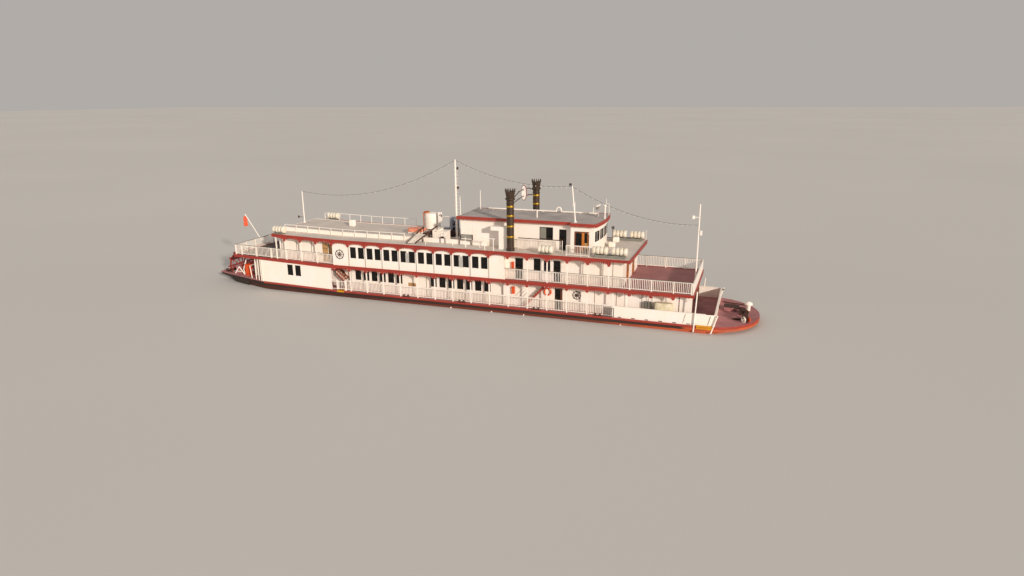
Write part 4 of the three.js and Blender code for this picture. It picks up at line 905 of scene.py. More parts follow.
class STEAMER_OT_safety_gear(PieceOperator):
    """Lifebuoys, extinguisher cabinets, boarding steps and the bow's fender strips"""
    bl_idname = "steamer.safety_gear"
    bl_label = "Safety Gear"

    def build(self, sizes):
        orange, white, yellow = new_shapes(3)
        for side in BOTH:
            centre = Vector((26.45, side * (INSET + 0.07), 2.3))
            ring(orange, centre, (0, 1, 0), 0.31, 0.085, steps=32, sides=10)
            for quarter in range(4):
                angle = math.pi * (quarter + 0.5) / 2
                across = Vector((math.cos(angle), 0, math.sin(angle)))
                along = Vector((0, 1, 0)).cross(across)
                here = centre + across * 0.31
                rod(white, here - along * 0.014, here + along * 0.014, 0.088, 12)
            for x0, x1, low, high in ((22.93, 23.21, 1.83, 2.49), (22.92, 23.14, 4.21, 4.89)):
                box(orange, x0, x1, side * (INSET - 0.01), side * (INSET + 0.2), low, high)
                box(orange, x0 - 0.02, x1 + 0.02, side * (INSET - 0.01), side * (INSET + 0.22), high,
                    high + 0.02)
                rod(white, (x0 + 0.04, side * (INSET + 0.2), (low + high) / 2),
                    (x0 + 0.04, side * (INSET + 0.215), (low + high) / 2), 0.02, 8)
            # Boarding step at the lobby
            box(yellow, 4.1, 4.9, side * 4.62, side * 4.87, MAIN + 0.005, MAIN + 0.07)
            box(yellow, 4.1, 4.9, side * 4.82, side * 4.87, MAIN - 0.17, MAIN + 0.07)
            for z in (0.02, -0.05, -0.12):
                box(yellow, 4.1, 4.9, side * 4.86, side * 4.885, MAIN + z - 0.012, MAIN + z + 0.012)
            # Fender strip under the bow's bulwark: two long lengths with a rounded nose
            for low, high in ((0.43, 0.58), (0.6, 0.75)):
                strip(yellow, 40.1, 41.4, side * 4.7, side * 4.88, low, high)
                rod(yellow, (40.1, side * 4.88, (low + high) / 2), (41.4, side * 4.88, (low + high) / 2),
                    0.06, 8)
        finish("lifebuoys_and_cabinets", orange, *ORANGE)
        finish("lifebuoy_bands", white, *WHITE_SHELL)
        finish("boarding_steps_and_fenders", yellow, "safety_yellow_enamel", "orange_cover")


# Stairs
# Lines of the gangway's rails from the roof over the coaming, each of three points
GANGWAY_AFT = [(12.05, -4.17, ROOF + 0.05), (12.29, -2.6, 6.65), (12.8, -1.9, 7.27)]
GANGWAY_FORE = [(12.83, -3.92, ROOF + 0.05), (13.6, -2.86, 6.76), (14.3, -1.9, 7.45)]


class STEAMER_OT_stairs(PieceOperator):
    """The after stair with its fretted side, the forward stair and the roof gangway"""
    bl_idname = "steamer.stairs"
    bl_label = "Stairs"

    def build(self, sizes):
        red, yellow, tread, dark, cream = new_shapes(5)
        for side in BOTH:
            # After stair: from the lobby aft and up, in front of a cream partition
            foot, head = Vector((5.1, side * 3.45, MAIN + 0.4)), Vector((3.0, side * 3.45, UPPER - 0.2))
            self.flight(red, tread, foot, head, 0.6, 9, 0.2)
            box(cream, 2.0, 5.25, side * 3.02, side * 3.08, MAIN + 0.005, UPPER - SOFFIT)
            low = Vector((4.71, side * 3.9, 1.32))
            high = Vector((3.52, side * 3.9, 2.28))
            along = high - low
            for lift_by, thick in ((-0.1, 0.04), (0.42, 0.036)):
                shift = Vector((0, 0, lift_by))
                rod(red, low + shift, high + shift, thick, 8)
            for step in range(7):
                here = low + along * (step / 6)
                rod(red, here - Vector((0, 0, 0.1)), here + Vector((0, 0, 0.42)), 0.022, 6)
            for step in range(6):
                here = low + along * ((step + 0.5) / 6) + Vector((0, 0, 0.16))
                ring(cream, here, (0, 1, 0), 0.1, 0.022, steps=12, sides=6)
                rod(yellow, here - Vector((0, side * 0.01, 0)), here + Vector((0, side * 0.03, 0)), 0.05, 8)
            # Forward stair in the walkway
            foot, head = Vector((24.04, side * 4.2, MAIN)), Vector((26.5, side * 4.2, UPPER - 0.14))
            self.flight(red, tread, foot, head, 0.5, 12, 0.24)
        # Gangway stowed across the coaming: two thick rails with the ramp between them, its head on legs
        for line in (GANGWAY_AFT, GANGWAY_FORE):
            chain_of_rods(dark, line, 0.075, 8)
            head = Vector(line[-1])
            rod(dark, (head.x, head.y, ROOF), head, 0.05, 8)
        for step in range(9):
            aft, fore = (Vector(line[0]).lerp(Vector(line[1]), (step + 0.5) / 9)
                         for line in (GANGWAY_AFT, GANGWAY_FORE))
            along = Vector((0.02, 0.075, 0))
            plate(cream, [aft - along, fore - along, fore + along, aft + along], (0, 0, 0.04))
        finish("stair_sides_red", red, *RED)
        finish("stair_fretwork", yellow, "safety_yellow_enamel", "orange_cover")
        finish("stair_treads", tread, "oiled_pine", "brown_timber")
        finish("gangway_rails", dark, *IRON)
        finish("gangway_boards_and_partition", cream, *CREAM)

    def flight(self, strings, treads, foot, head, width, count, depth):
        along = head - foot
        back = depth * along.x / along.z
        for way in BOTH:
            y = foot.y + way * width / 2
            outline = [(foot.x, y, foot.z), (head.x, y, head.z), (head.x, y, head.z - depth),
                       (foot.x + back, y, foot.z)]
            plate(strings, outline, (0, way * 0.05, 0))
        for step in range(count):
            here = foot + along * ((step + 0.6) / count)
            box(treads, here.x - 0.13, here.x + 0.13, here.y - width / 2, here.y + width / 2, here.z - 0.03,
                here.z)


# Funnels
FUNNEL_STEPS = 48
# Columns: radius, height; down the bore, over the crown and the collar, and down to the roof
FUNNEL_PROFILE = [
    (0.28, 8.2), (0.28, 11.0), (0.33, 11.15), (0.38, 11.5), (0.46, 11.48), (0.42, 11.2), (0.37, 10.95),
    (0.4, 10.9), (0.46, 10.86), (0.46, 10.74), (0.4, 10.7), (0.35, 10.66), (0.345, 10.42), (0.38, 10.4),
    (0.38, 10.34), (0.345, 10.32), (0.345, 6.25), (0.4, 6.2), (0.4, 5.98), (0.0, 5.98),
]
CROWN_POINTS = 12
RIVETS_ROUND = 20
FUNNEL_BANDS = (10.12, 9.26, 8.29, 7.31)
FUNNEL_RIVETS = (9.7, 8.78, 7.8, 6.8)


def around(count, shift=0.0):
    """Level unit vectors at even angles all round."""
    angles = [2 * math.pi * (index + shift) / count for index in range(count)]
    return [Vector((math.cos(angle), math.sin(angle), 0)) for angle in angles]


class STEAMER_OT_funnels(PieceOperator):
    """Two smooth funnels with collars, pointed crowns, brass bands and rivets"""
    bl_idname = "steamer.funnels"
    bl_label = "Funnels"

    def build(self, sizes):
        for side, label in SIDES:
            middle = Vector((FUNNEL_X, side * FUNNEL_Y, 0))
            tube, brass = new_shapes(2)
            turned(tube, FUNNEL_PROFILE, middle, steps=FUNNEL_STEPS)
            turned(tube, [(0.0, 8.2), (0.285, 8.2)], middle, steps=FUNNEL_STEPS)
            for reach in around(CROWN_POINTS, 0.5):
                rod(tube, middle + reach * 0.42 + Vector((0, 0, 11.44)),
                    middle + reach * 0.46 + Vector((0, 0, 11.75)), 0.07, 6, 0.02)
            for z in FUNNEL_BANDS:
                turned(brass, [(0.34, z - 0.08), (0.37, z - 0.075), (0.378, z), (0.37, z + 0.075),
                               (0.34, z + 0.08)], middle, steps=FUNNEL_STEPS)
            for z in FUNNEL_RIVETS:
                for reach in around(RIVETS_ROUND):
                    here = middle + Vector((0, 0, z)) + reach * 0.34
                    rod(tube, here, here + reach * 0.02, 0.02, 6)
            funnel = finish(f"funnel_{label}_tube", tube, "heat_resisting_enamel", "funnel_paint")
            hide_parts(f"funnel_{label}")
            finish(f"funnel_{label}_bands", brass, "polished_brass", "funnel_paint")
        face, rim = new_shapes(2)
        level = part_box("funnel_sign")[1].z / SCALE - 0.72
        angles = [math.pi * step / 16 for step in range(33)]
        for way in BOTH:
            outline = [(FUNNEL_X + 0.24 * math.cos(angle), way * 0.051, level + 0.68 * math.sin(angle))
                       for angle in angles[:-1]]
            plate(face, outline, (0, way * 0.012, 0))
        finish("funnel_sign_faces", face, *CREAM)
        points = [(FUNNEL_X + 0.265 * math.cos(angle), 0, level + 0.71 * math.sin(angle)) for angle in angles]
        chain_of_rods(rim, points, 0.035, 6)
        finish("funnel_sign_rim", rim, *RED)


# Roof
TRUNK_AFT, TRUNK_FORE = -3.25, 12.75
TRUNK_BOARDS = 11
# Columns: aft end, fore end of each board of the forward coaming
FORE_BOARDS = [(13.2, 14.58), (14.6, 15.98), (16.0, 17.38), (17.4, 18.78), (18.8, 20.0)]
LOW_RAIL = 0.7
PORT_RAIL = 0.83


class STEAMER_OT_raised_roof(PieceOperator):
    """Coaming boards, caps and the light rails of the raised roof"""
    bl_idname = "steamer.raised_roof"
    bl_label = "Raised Roof"

    def build(self, sizes):
        boards, rail = new_shapes(2)
        pitch = (TRUNK_FORE - TRUNK_AFT) / TRUNK_BOARDS
        for side in BOTH:
            outer = side * (RAISED_HALF + 0.03)
            for index in range(TRUNK_BOARDS):
                x0 = TRUNK_AFT + index * pitch
                strip(boards, x0, x0 + pitch - 0.03, side * RAISED_HALF, outer, ROOF + 0.01, RAISED + 0.01)
            strip(boards, TRUNK_AFT, TRUNK_FORE + 0.03, side * (RAISED_HALF - 0.05),
                  side * (RAISED_HALF + 0.045), RAISED + 0.004, RAISED + 0.035)
            for x0, x1 in FORE_BOARDS:
                box(boards, x0, x1, side * (RAISED_HALF + 0.001), outer, ROOF + 0.005, RAISED)
            box(boards, 13.18, 20.03, side * (RAISED_HALF - 0.09), side * (RAISED_HALF + 0.04),
                RAISED + 0.002, RAISED + 0.035)
        for x, way in ((TRUNK_AFT, -1), (TRUNK_FORE, 1)):
            lift(box(boards, x, x + way * 0.03, -RAISED_HALF, RAISED_HALF, ROOF + 0.01, RAISED + 0.01))
        # Low rail outboard of the starboard coaming
        radius = sizes.handrail_radius
        y = -RAISED_HALF - 0.15
        for index in range(11):
            x = TRUNK_AFT + 0.1 + index * 1.43
            lift(rod(rail, (x, y, ROOF), (x, y, ROOF + LOW_RAIL), radius, 8))
        strip(rail, TRUNK_AFT + 0.1, 11.2, y - 0.022, y + 0.022, ROOF + LOW_RAIL, ROOF + LOW_RAIL + 0.045)
        # Rail along the roof's port edge, returned inboard at its after end
        for index in range(9):
            x = -2.75 + index * 1.42
            lift(rod(rail, (x, 4.62, ROOF), (x, 4.62, ROOF + PORT_RAIL), radius, 8))
        strip(rail, -2.8, 8.66, 4.595, 4.645, ROOF + PORT_RAIL - 0.02, ROOF + PORT_RAIL + 0.03)
        aft = Vector((-2.75, 0, rise(-2.75)))
        for z in (ROOF + 0.43, ROOF + PORT_RAIL):
            rod(rail, aft + Vector((0, 4.62, z)), aft + Vector((0, 3.9, z)), radius * 0.85, 8)
        rod(rail, aft + Vector((0, 3.9, ROOF)), aft + Vector((0, 3.9, ROOF + PORT_RAIL)), radius, 8)
        finish("roof_coaming_boards", boards, *CREAM)
        finish("roof_rails", rail, *CREAM)


WHEELHOUSE_ROOF_FORE, WHEELHOUSE_ROOF_HALF = 30.62, 3.22
DENTIL_PITCH, DENTIL_WIDTH = 0.2, 0.1
# Columns: station, height along the pipe
PIPE_LINE = [
    (18.2, 8.8), (25.4, 8.8), (25.43, 9.05), (25.51, 9.17), (25.65, 9.22), (25.79, 9.17), (25.87, 9.05),
    (25.9, 8.8), (29.5, 8.8),
]
PIPE_FEET = (18.6, 20.4, 22.2, 24.0, 26.2, 27.8, 29.3)


class STEAMER_OT_house_trim(PieceOperator):
    """Red boards and dentils under the deckhouse and wheelhouse roofs, and the pipe on top"""
    bl_idname = "steamer.house_trim"
    bl_label = "House Trim"

    def build(self, sizes):
        red, dots, pipe = new_shapes(3)
        low, high = HOUSE - 0.22, HOUSE + 0.035
        foot, head = low - 0.09, low + 0.05
        half = WHEELHOUSE_ROOF_HALF
        for side in BOTH:
            for x0, x1, out in ((16.83, 28.28, 2.72), (28.27, WHEELHOUSE_ROOF_FORE + 0.02, half)):
                box(red, x0, x1, side * (out + 0.001), side * (out + 0.04), low, high)
                for index in range(math.floor((x1 - x0 - 0.1) / DENTIL_PITCH)):
                    x = x0 + 0.1 + index * DENTIL_PITCH
                    box(dots, x, x + DENTIL_WIDTH, side * (out - 0.01), side * (out + 0.055), foot, head)
            box(red, 28.27, 28.299, side * 2.77, side * (half + 0.04), low, high)
        box(red, 16.81, 16.848, -2.76, 2.76, low, HOUSE - 0.02)
        for index in range(27):
            y = -2.7 + index * DENTIL_PITCH
            box(dots, 16.795, 16.85, y, y + DENTIL_WIDTH, foot, head)
        bowed_board(red, -half, half, low, high, -0.001, 0.04, WHEELHOUSE_ROOF_FORE, half)
        for index in range(32):
            y = -half + 0.04 + index * DENTIL_PITCH
            bowed_board(dots, y, y + DENTIL_WIDTH, foot, head, 0.01, 0.055, WHEELHOUSE_ROOF_FORE, half)
        # White pipe along the port side of the roof, with its expansion loop
        line = [(x, 2.4, z) for x, z in PIPE_LINE]
        chain_of_rods(pipe, line, 0.07, 10)
        for point in line:
            bmesh.ops.create_uvsphere(pipe, u_segments=10, v_segments=6, radius=0.07,
                                      matrix=Matrix.Translation(point))
        for x in PIPE_FEET:
            box(pipe, x, x + 0.08, 2.34, 2.46, HOUSE, 8.79)
        finish("house_roof_boards", red, *RED)
        finish("house_roof_dentils", dots, *RED)
        finish("house_roof_pipe", pipe, *CREAM)


# Liferafts
# Columns: CAD node, aft end of the first drum, distance to port, drums, height of the cradle
RAFTS = [
    ("liferafts_fore_starboard", 30.65, -4.1, 2, 0.26), ("liferafts_fore_port", 30.8, 4.1, 2, 0.26),
    ("liferaft_side_starboard", 25.66, -4.4, 1, 0.1), ("liferaft_aft_starboard", -3.4, -4.4, 1, 0.1),
    ("liferaft_aft_port", -2.4, 4.1, 1, 0.26),
]
RAFT_LENGTH, RAFT_PITCH, RAFT_RADIUS = 1.4, 1.75, 0.36
RAFT_LOBES = 4
RAFT_CRADLES = (0.31, 1.09)


class STEAMER_OT_liferafts(PieceOperator):
    """Raft drums of four fat lobes with domed ends, straps in their grooves, and cradles"""
    bl_idname = "steamer.liferafts"
    bl_label = "Liferafts"

    def build(self, sizes):
        lobe = RAFT_LENGTH / RAFT_LOBES
        neck, shoulder = RAFT_RADIUS - 0.045, RAFT_RADIUS - 0.01
        profile = [(0.0, 0.0), (0.2, 0.01)]
        for index in range(RAFT_LOBES):
            at = index * lobe
            profile += [(neck, at + 0.02), (shoulder, at + 0.07), (RAFT_RADIUS, at + lobe / 2),
                        (shoulder, at + lobe - 0.07), (neck, at + lobe - 0.02)]
        profile += [(0.2, RAFT_LENGTH - 0.01), (0.0, RAFT_LENGTH)]
        for node, aft, y, drums, lift_by in RAFTS:
            drum, straps, cradle = new_shapes(3)
            floor = ROOF + rise(aft)
            middle = floor + lift_by + RAFT_RADIUS
            last = aft + (drums - 1) * RAFT_PITCH + RAFT_LENGTH
            for index in range(drums):
                x = aft + index * RAFT_PITCH
                turned(drum, profile, (x, y, middle), axis=(1, 0, 0), steps=32)
                for groove in range(1, RAFT_LOBES):
                    at = groove * lobe
                    turned(straps, [(RAFT_RADIUS - 0.06, at - 0.012), (RAFT_RADIUS - 0.03, at - 0.01),
                                    (RAFT_RADIUS - 0.03, at + 0.01), (RAFT_RADIUS - 0.06, at + 0.012)],
                           (x, y, middle), axis=(1, 0, 0), steps=32)
                for along in RAFT_CRADLES:
                    for way in BOTH:
                        plate(cradle, [
                            (x + along - 0.05, y + way * 0.34, floor + lift_by + 0.2),
                            (x + along - 0.05, y + way * 0.27, floor + lift_by + 0.2),
                            (x + along - 0.05, y + way * 0.14, floor + lift_by + 0.04),
                            (x + along - 0.05, y + way * 0.2, floor + 0.02),
                        ], (0.1, 0, 0))
                    box(cradle, x + along - 0.05, x + along + 0.05, y - 0.3, y + 0.3, floor + lift_by - 0.04,
                        floor + lift_by + 0.03)
            for across in (-0.25, 0.25):
                box(cradle, aft + 0.2, last - 0.2, y + across - 0.03, y + across + 0.03, floor + 0.003,
                    floor + lift_by)
            body = finish(f"{node}_drums", drum, *WHITE_SHELL)
            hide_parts(node)
            finish(f"{node}_straps", straps, "joint_mastic", "grey_iron")
            finish(f"{node}_cradle", cradle, "flat_paint_grey", "brown_timber")


# Columns: station, distance to port, foot, head, radius of the thin posts and whips
WHIPS = [
    (16.79, -1.69, HOUSE, 10.5, 0.045), (17.26, 2.4, HOUSE, 10.6, 0.045), (29.11, 2.5, HOUSE, 9.61, 0.035),
    (28.62, -2.75, HOUSE, 10.63, 0.02), (30.7, 2.35, HOUSE, 9.82, 0.03), (34.0, 4.75, ROOF, 7.0, 0.06),
    (13.91, -3.8, ROOF, 6.25, 0.03), (16.63, -3.41, ROOF, 6.25, 0.03), (18.19, -3.87, ROOF, 6.98, 0.035),
    (19.51, -3.54, ROOF, 6.2, 0.03),
]
# Columns: aft end, fore end, distance to port, foot, head of the rails beside the deckhouse and wheelhouse
HOUSE_RAILS = [(23.3, 27.6, -3.25, 0.12, 1.1), (28.32, 30.42, -4.52, 0.12, 0.96)]


class STEAMER_OT_roof_gear(PieceOperator):
    """Tank, lockers, boxes, bench, lamps, aerials and the rails beside the houses"""
    bl_idname = "steamer.roof_gear"
    bl_label = "Roof Gear"

    def build(self, sizes):
        cream, rust, dark, grey, blue, timber = new_shapes(6)
        self.tank(cream, rust, dark)
        # Cream boat bottom on two chocks under the cover
        for x in (10.95, 12.1):
            box(dark, x - 0.06, x + 0.06, -1.3, -0.36, RAISED, RAISED + 0.08)
        bottom = [(10.72, -1.3), (12.2, -1.36), (12.44, -0.83), (12.2, -0.3), (10.72, -0.36)]
        plate(cream, [(x, y, RAISED + 0.04) for x, y in bottom], (0, 0, 0.22))
        # White panel forward of the tank, with a hook and the pipe that joins it to the frame
        box(cream, 13.0, 13.2, 1.1, 1.25, ROOF + 0.005, 8.3)
        box(cream, 13.2, 13.43, 1.1, 1.25, 7.3, 8.3)
        ring(dark, (13.32, 1.08, 7.95), (0, 1, 0), 0.11, 0.04, steps=12, sides=6, angle=1.5 * math.pi)
        rod(cream, (13.43, 1.2, 7.87), (14.62, 0.9, 7.92), 0.05, 8)
        box(blue, 13.5, 14.1, 1.15, 1.7, ROOF + 0.002, 6.75)
        box(cream, 13.46, 14.14, 1.11, 1.74, 6.75, 6.79)
        # Frame aft of the deckhouse, blue-grey as painted shade, with dark pipes and a pump at its foot
        for x in (14.7, 15.3):
            box(blue, x - 0.1, x + 0.1, 0.45, 0.6, ROOF + 0.002, 7.9)
            box(blue, x - 0.1, x + 0.1, 0.95, 1.1, ROOF + 0.002, 7.9)
        for z in (7.0, 7.82):
            box(blue, 14.6, 15.4, 0.46, 0.58, z, z + 0.08)
            box(blue, 14.6, 15.4, 0.97, 1.09, z, z + 0.08)
        box(blue, 14.6, 15.4, 0.45, 1.1, 7.9, 7.94)
        for x, top in ((14.88, 7.3), (15.0, 7.6), (15.13, 7.45)):
            rod(dark, (x, 0.75, ROOF), (x, 0.75, top), 0.06, 10)
        pump = [(0.0, 0.0), (0.3, 0.0), (0.3, 0.55), (0.22, 0.68), (0.0, 0.72)]
        turned(dark, pump, (14.9, 0.6, ROOF + 0.003), steps=20)
        rod(dark, (14.35, 0.6, ROOF + 0.28), (15.5, 0.6, ROOF + 0.28), 0.22, 14)
        # Lockers: lids, doors and handles, and the winch between them and the coaming
        for x0, x1, top in ((13.75, 14.6, ROOF + 1.15), (14.58, 15.35, ROOF + 0.95)):
            box(cream, x0 - 0.04, x1 + 0.04, -1.98, -1.02, top, top + 0.05)
            box(cream, x0 + 0.06, x1 - 0.06, -1.96, -1.93, ROOF + 0.12, top - 0.08)
            middle = (x0 + x1) / 2
            rod(dark, (middle - 0.1, -1.97, top - 0.2), (middle + 0.1, -1.97, top - 0.2), 0.018, 6)
        winch = [(0.0, 0.0), (0.17, 0.0), (0.17, 0.25), (0.0, 0.27)]
        turned(dark, winch, (15.0, -2.35, ROOF + 0.35), axis=(0, 1, 0), steps=18)
        for x in (14.85, 15.15):
            rod(dark, (x, -2.25, ROOF), (x, -2.25, ROOF + 0.5), 0.035, 8)
        # Two thin legs and the brown pipe against the coaming's fore end
        for x in (15.05, 15.58):
            rod(dark, (x, -2.85, ROOF), (x, -2.85, ROOF + 0.5), 0.035, 8)
        rod(dark, (13.12, -2.85, ROOF + 0.05), (13.12, -2.5, ROOF + 0.05), 0.05, 8)
        # Rounded white box on the trunk, and small boxes on the forward roof
        self.moulded_box(cream, 2.75, 3.35, 0.25, 0.75, RAISED + rise(3.05) + 0.003, 0.7)
        for x, y in ((31.37, 2.94), (31.47, 0.5)):
            self.moulded_box(cream, x - 0.3, x + 0.3, y - 0.25, y + 0.25, ROOF + 0.003, 0.5)
        # Bench against the deckhouse's starboard wall
        for z in (0.58, 0.72, 0.86):
            box(timber, 17.06, 18.4, -HOUSE_WALL - 0.08, -HOUSE_WALL - 0.04, ROOF + z, ROOF + z + 0.09)
        box(timber, 17.06, 18.4, -2.9, -2.53, ROOF + 0.42, ROOF + 0.46)
        for x in (17.08, 18.32):
            box(dark, x, x + 0.06, -2.88, -2.82, ROOF + 0.003, ROOF + 0.42)
            box(dark, x, x + 0.06, -2.53, -HOUSE_WALL - 0.01, ROOF + 0.003, ROOF + 0.95)
        for x, y, foot, head, radius in WHIPS:
            rod(cream, (x, y, foot), (x, y, head), radius, 8, radius * 0.7)
            rod(cream, (x, y, foot), (x, y, foot + 0.05), radius * 2.2, 10)
        # Aerial on an arm at the head of the foremost whip
        rod(cream, (30.72, 2.35, 9.8), (30.38, 2.35, 9.8), 0.022, 8)
        rod(cream, (30.4, 2.35, 9.79), (30.4, 2.35, 10.3), 0.02, 8)
        # Lamp davit, satellite dome and searchlight
        rod(cream, (24.46, -1.02, HOUSE), (24.46, -1.02, 9.4), 0.06, 10)
        rod(cream, (24.46, -1.02, 9.38), (23.95, -1.02, 9.4), 0.04, 8)
        box(cream, 23.8, 24.1, -1.1, -0.94, 9.33, 9.39)
        rod(cream, (30.78, 0.1, HOUSE), (30.78, 0.1, 9.88), 0.07, 12)
        turned(cream, [(0.0, 0.0), (0.12, 0.02), (0.15, 0.08), (0.15, 0.13), (0.1, 0.21), (0.0, 0.24)],
               (30.78, 0.1, 9.86), steps=24)
        rod(grey, (30.99, 3.0, ROOF), (30.99, 3.0, 7.22), 0.04, 10)
        turned(grey, [(0.0, 0.0), (0.1, 0.02), (0.16, 0.1), (0.17, 0.26), (0.15, 0.26), (0.0, 0.22)],
               (30.86, 3.0, 7.36), axis=(1, 0, 0), steps=24)
        turned(dark, [(0.0, 0.222), (0.15, 0.25), (0.0, 0.26)], (30.86, 3.0, 7.36), axis=(1, 0, 0), steps=24)
        # Masthead lamps on brackets, and the signal mast's rungs
        for mast, x, y, z in ((SIGNAL_MAST, 15.85, 0, 13.0), (SIGNAL_MAST, 15.85, 0, 11.07),
                              (-3.05, -3.7, 0.35, 7.1)):
            rod(grey, (mast, y, z), (x, y, z), 0.03, 6)
            rod(dark, (x, y, z - 0.1), (x, y, z + 0.12), 0.09, 10)
        for rung in range(14):
            z = 8.6 + rung * 0.34
            rod(cream, (SIGNAL_MAST, 0, z), (15.92, 0, z), 0.018, 6)
        box(cream, 39.55, 39.72, -0.12, 0.12, 7.7, 8.12)
        self.rails(cream, dark, sizes.handrail_radius)
        finish("roof_gear_cream", cream, *CREAM)
        finish("roof_bench", timber, "flat_paint_grey", "brown_timber")
        finish("roof_gear_rusty", rust, "rusted_iron", "orange_cover")
        finish("roof_gear_dark", dark, *IRON)
        finish("roof_gear_grey", grey, "galvanised_steel", "grey_iron")
        finish("roof_frame_and_box", blue, "flat_paint_blue_grey", "roof_paint")

    def tank(self, cream, rust, dark):
        """Water tank with hoops, a lid, a ladder and the dark platform under its edge."""
        x, y, radius = 11.95, 1.7, 0.72
        inner = radius - 0.02
        profile = [(0.0, RAISED + 0.002), (radius, RAISED + 0.002), (radius, RAISED + 0.1),
                   (inner, RAISED + 0.12)]
        for hoop in range(3):
            at = RAISED + 0.42 + hoop * 0.42
            profile += [(inner, at), (radius, at + 0.015), (radius, at + 0.045), (inner, at + 0.06)]
        profile += [(inner, RAISED + 1.64), (radius - 0.04, RAISED + 1.7), (0.4, RAISED + 1.79),
                    (0.0, RAISED + 1.8)]
        shell = bmesh.new()
        turned(shell, profile, (x, y, 0), steps=48)
        piece = finish("water_tank_shell", shell, *CREAM)
        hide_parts("water_tank")
        band = [(0.7, 0.003), (0.745, 0.003), (0.745, 0.12), (0.7, 0.12), (0.7, 0.003)]
        turned(dark, band, (x, y, RAISED), steps=48)
        lid = [(0.0, 0.0), (0.32, 0.0), (0.32, 0.14), (0.26, 0.19), (0.0, 0.2)]
        turned(rust, lid, (11.5, 1.55, 8.08), steps=20)
        for way in (-0.16, 0.16):
            rod(rust, (11.2, 1.5 + way, 6.75), (11.2, 1.5 + way, 8.15), 0.04, 6)
            for z in (6.9, 7.9):
                rod(rust, (11.2, 1.5 + way, z), (11.4, 1.5 + way, z), 0.025, 6)
        for step in range(6):
            z = 6.82 + step * 0.25
            rod(rust, (11.2, 1.34, z), (11.2, 1.66, z), 0.03, 6)
        # Ring at the tank's foot, and the platform's beams towards the gangway's head
        ring(cream, (12.0, 0.75, RAISED + 0.03), (0, 0, 1), 0.28, 0.035, steps=20, sides=6)
        for y0, x0, x1 in ((-0.1, 12.7, 13.9), (0.35, 12.5, 13.8)):
            box(dark, x0, x1, y0, y0 + 0.14, RAISED + 0.02, RAISED + 0.2)
        for x0 in (12.82, 13.3, 13.75):
            box(dark, x0, x0 + 0.12, -1.95, 0.5, RAISED + 0.12, RAISED + 0.28)
            for y in (-1.85, 0.4):
                rod(dark, (x0 + 0.06, y, ROOF), (x0 + 0.06, y, RAISED + 0.15), 0.05, 8)

    def moulded_box(self, shape, x0, x1, y0, y1, z0, height):
        """A box with rounded corners and a cap."""
        made = box(shape, x0, x1, y0, y1, z0, z0 + height)
        edges = list({edge for vert in made for edge in vert.link_edges})
        bmesh.ops.bevel(shape, geom=edges, offset=0.08, affect="EDGES", segments=3, profile=0.5, material=-1)
        box(shape, x0 + 0.05, x1 - 0.05, y0 - 0.02, y0 + 0.01, z0 + 0.1, z0 + height - 0.16)

    def rails(self, cream, dark, radius):
        """Rails beside the deckhouse, with a dark handrail, beside the wheelhouse and at the roof's edge."""
        for x0, x1, y, foot, head in HOUSE_RAILS:
            foot, head = ROOF + foot, ROOF + head
            handrail = dark if x0 < 25 else cream
            rod(handrail, (x0, y, head), (x1, y, head), radius * 1.3, 8)
            rod(cream, (x0, y, foot), (x1, y, foot), radius * 0.8, 6)
            count = round((x1 - x0) / 0.15)
            for index in range(count + 1):
                x = x0 + (x1 - x0) * index / count
                post = index % 9 == 0 or index == count
                rod(cream, (x, y, ROOF if post else foot), (x, y, head), radius if post else 0.016, 6)
        for x in (20.47, 21.33):
            rod(cream, (x, -4.6, ROOF), (x, -4.6, 7.1), radius * 1.2, 8)
        rod(cream, (19.9, -4.6, 7.1), (21.5, -4.6, 7.1), radius * 1.2, 8)


# Rigging
# Columns: after end, fore end, sag of a wire
FESTOONS = [
    ((-3.0, 0.35, 9.95), (SIGNAL_MAST, 0, 13.8), 1.6),
    ((SIGNAL_MAST, 0, 13.8), (28.22, -2.4, 11.95), 0.8),
    ((28.22, -2.4, 11.95), (39.35, 0, 8.6), 0.9),
]
WIRE_STEPS = 24


class STEAMER_OT_rigging(PieceOperator):
    """Festoon wires between the mastheads, with their small lamps"""
    bl_idname = "steamer.rigging"
    bl_label = "Rigging"

    def build(self, sizes):
        wires, lamps = new_shapes(2)
        for aft, fore, sag in FESTOONS:
            points = []
            for step in range(WIRE_STEPS + 1):
                part = step / WIRE_STEPS
                hang = Vector((0, 0, 4 * sag * part * (1 - part)))
                points.append(Vector(aft).lerp(Vector(fore), part) - hang)
            chain_of_rods(wires, points, 0.014, 5)
            for point in points[1:-1]:
                rod(lamps, point - Vector((0, 0, 0.09)), point, 0.028, 6, 0.015)
        box(wires, 27.95, 28.15, -2.48, -2.32, 12.02, 12.22)
        rod(wires, (28.2, -2.4, 11.97), (28.1, -2.4, 12.06), 0.03, 6)
        finish("festoon_wires", wires, "wire_rope_dark", "grey_iron")
        finish("festoon_lamps", lamps, "opal_acrylic", "white_paint")


# Deck gear
OUTLETS = (16.89, 21.12, 24.36, 33.5)
OUTLET_HEIGHT = 0.06
OUTLET_PROFILE = [(0.0, 0.0), (0.05, 0.0), (0.06, 0.12), (0.05, 0.14), (0.03, 0.12), (0.0, 0.08)]
BOLLARD_PLACES = (12.05, 18.06, 25.6, 31.42)


def bollard(shape, x, y, z, radius, height):
    """A waisted bollard with a domed head."""
    head = radius * 1.35
    profile = [(0.0, 0.0), (radius * 1.2, 0.0), (radius, 0.06), (radius, height * 0.7), (head, height * 0.8),
               (head, height * 0.92), (0.0, height)]
    turned(shape, profile, (x, y, z), steps=14)


# Plan of the deck's edge, as in the CAD: the sides' fore end and the bow's tip
BOW_START, BOW_TIP = 40.8, 45.2


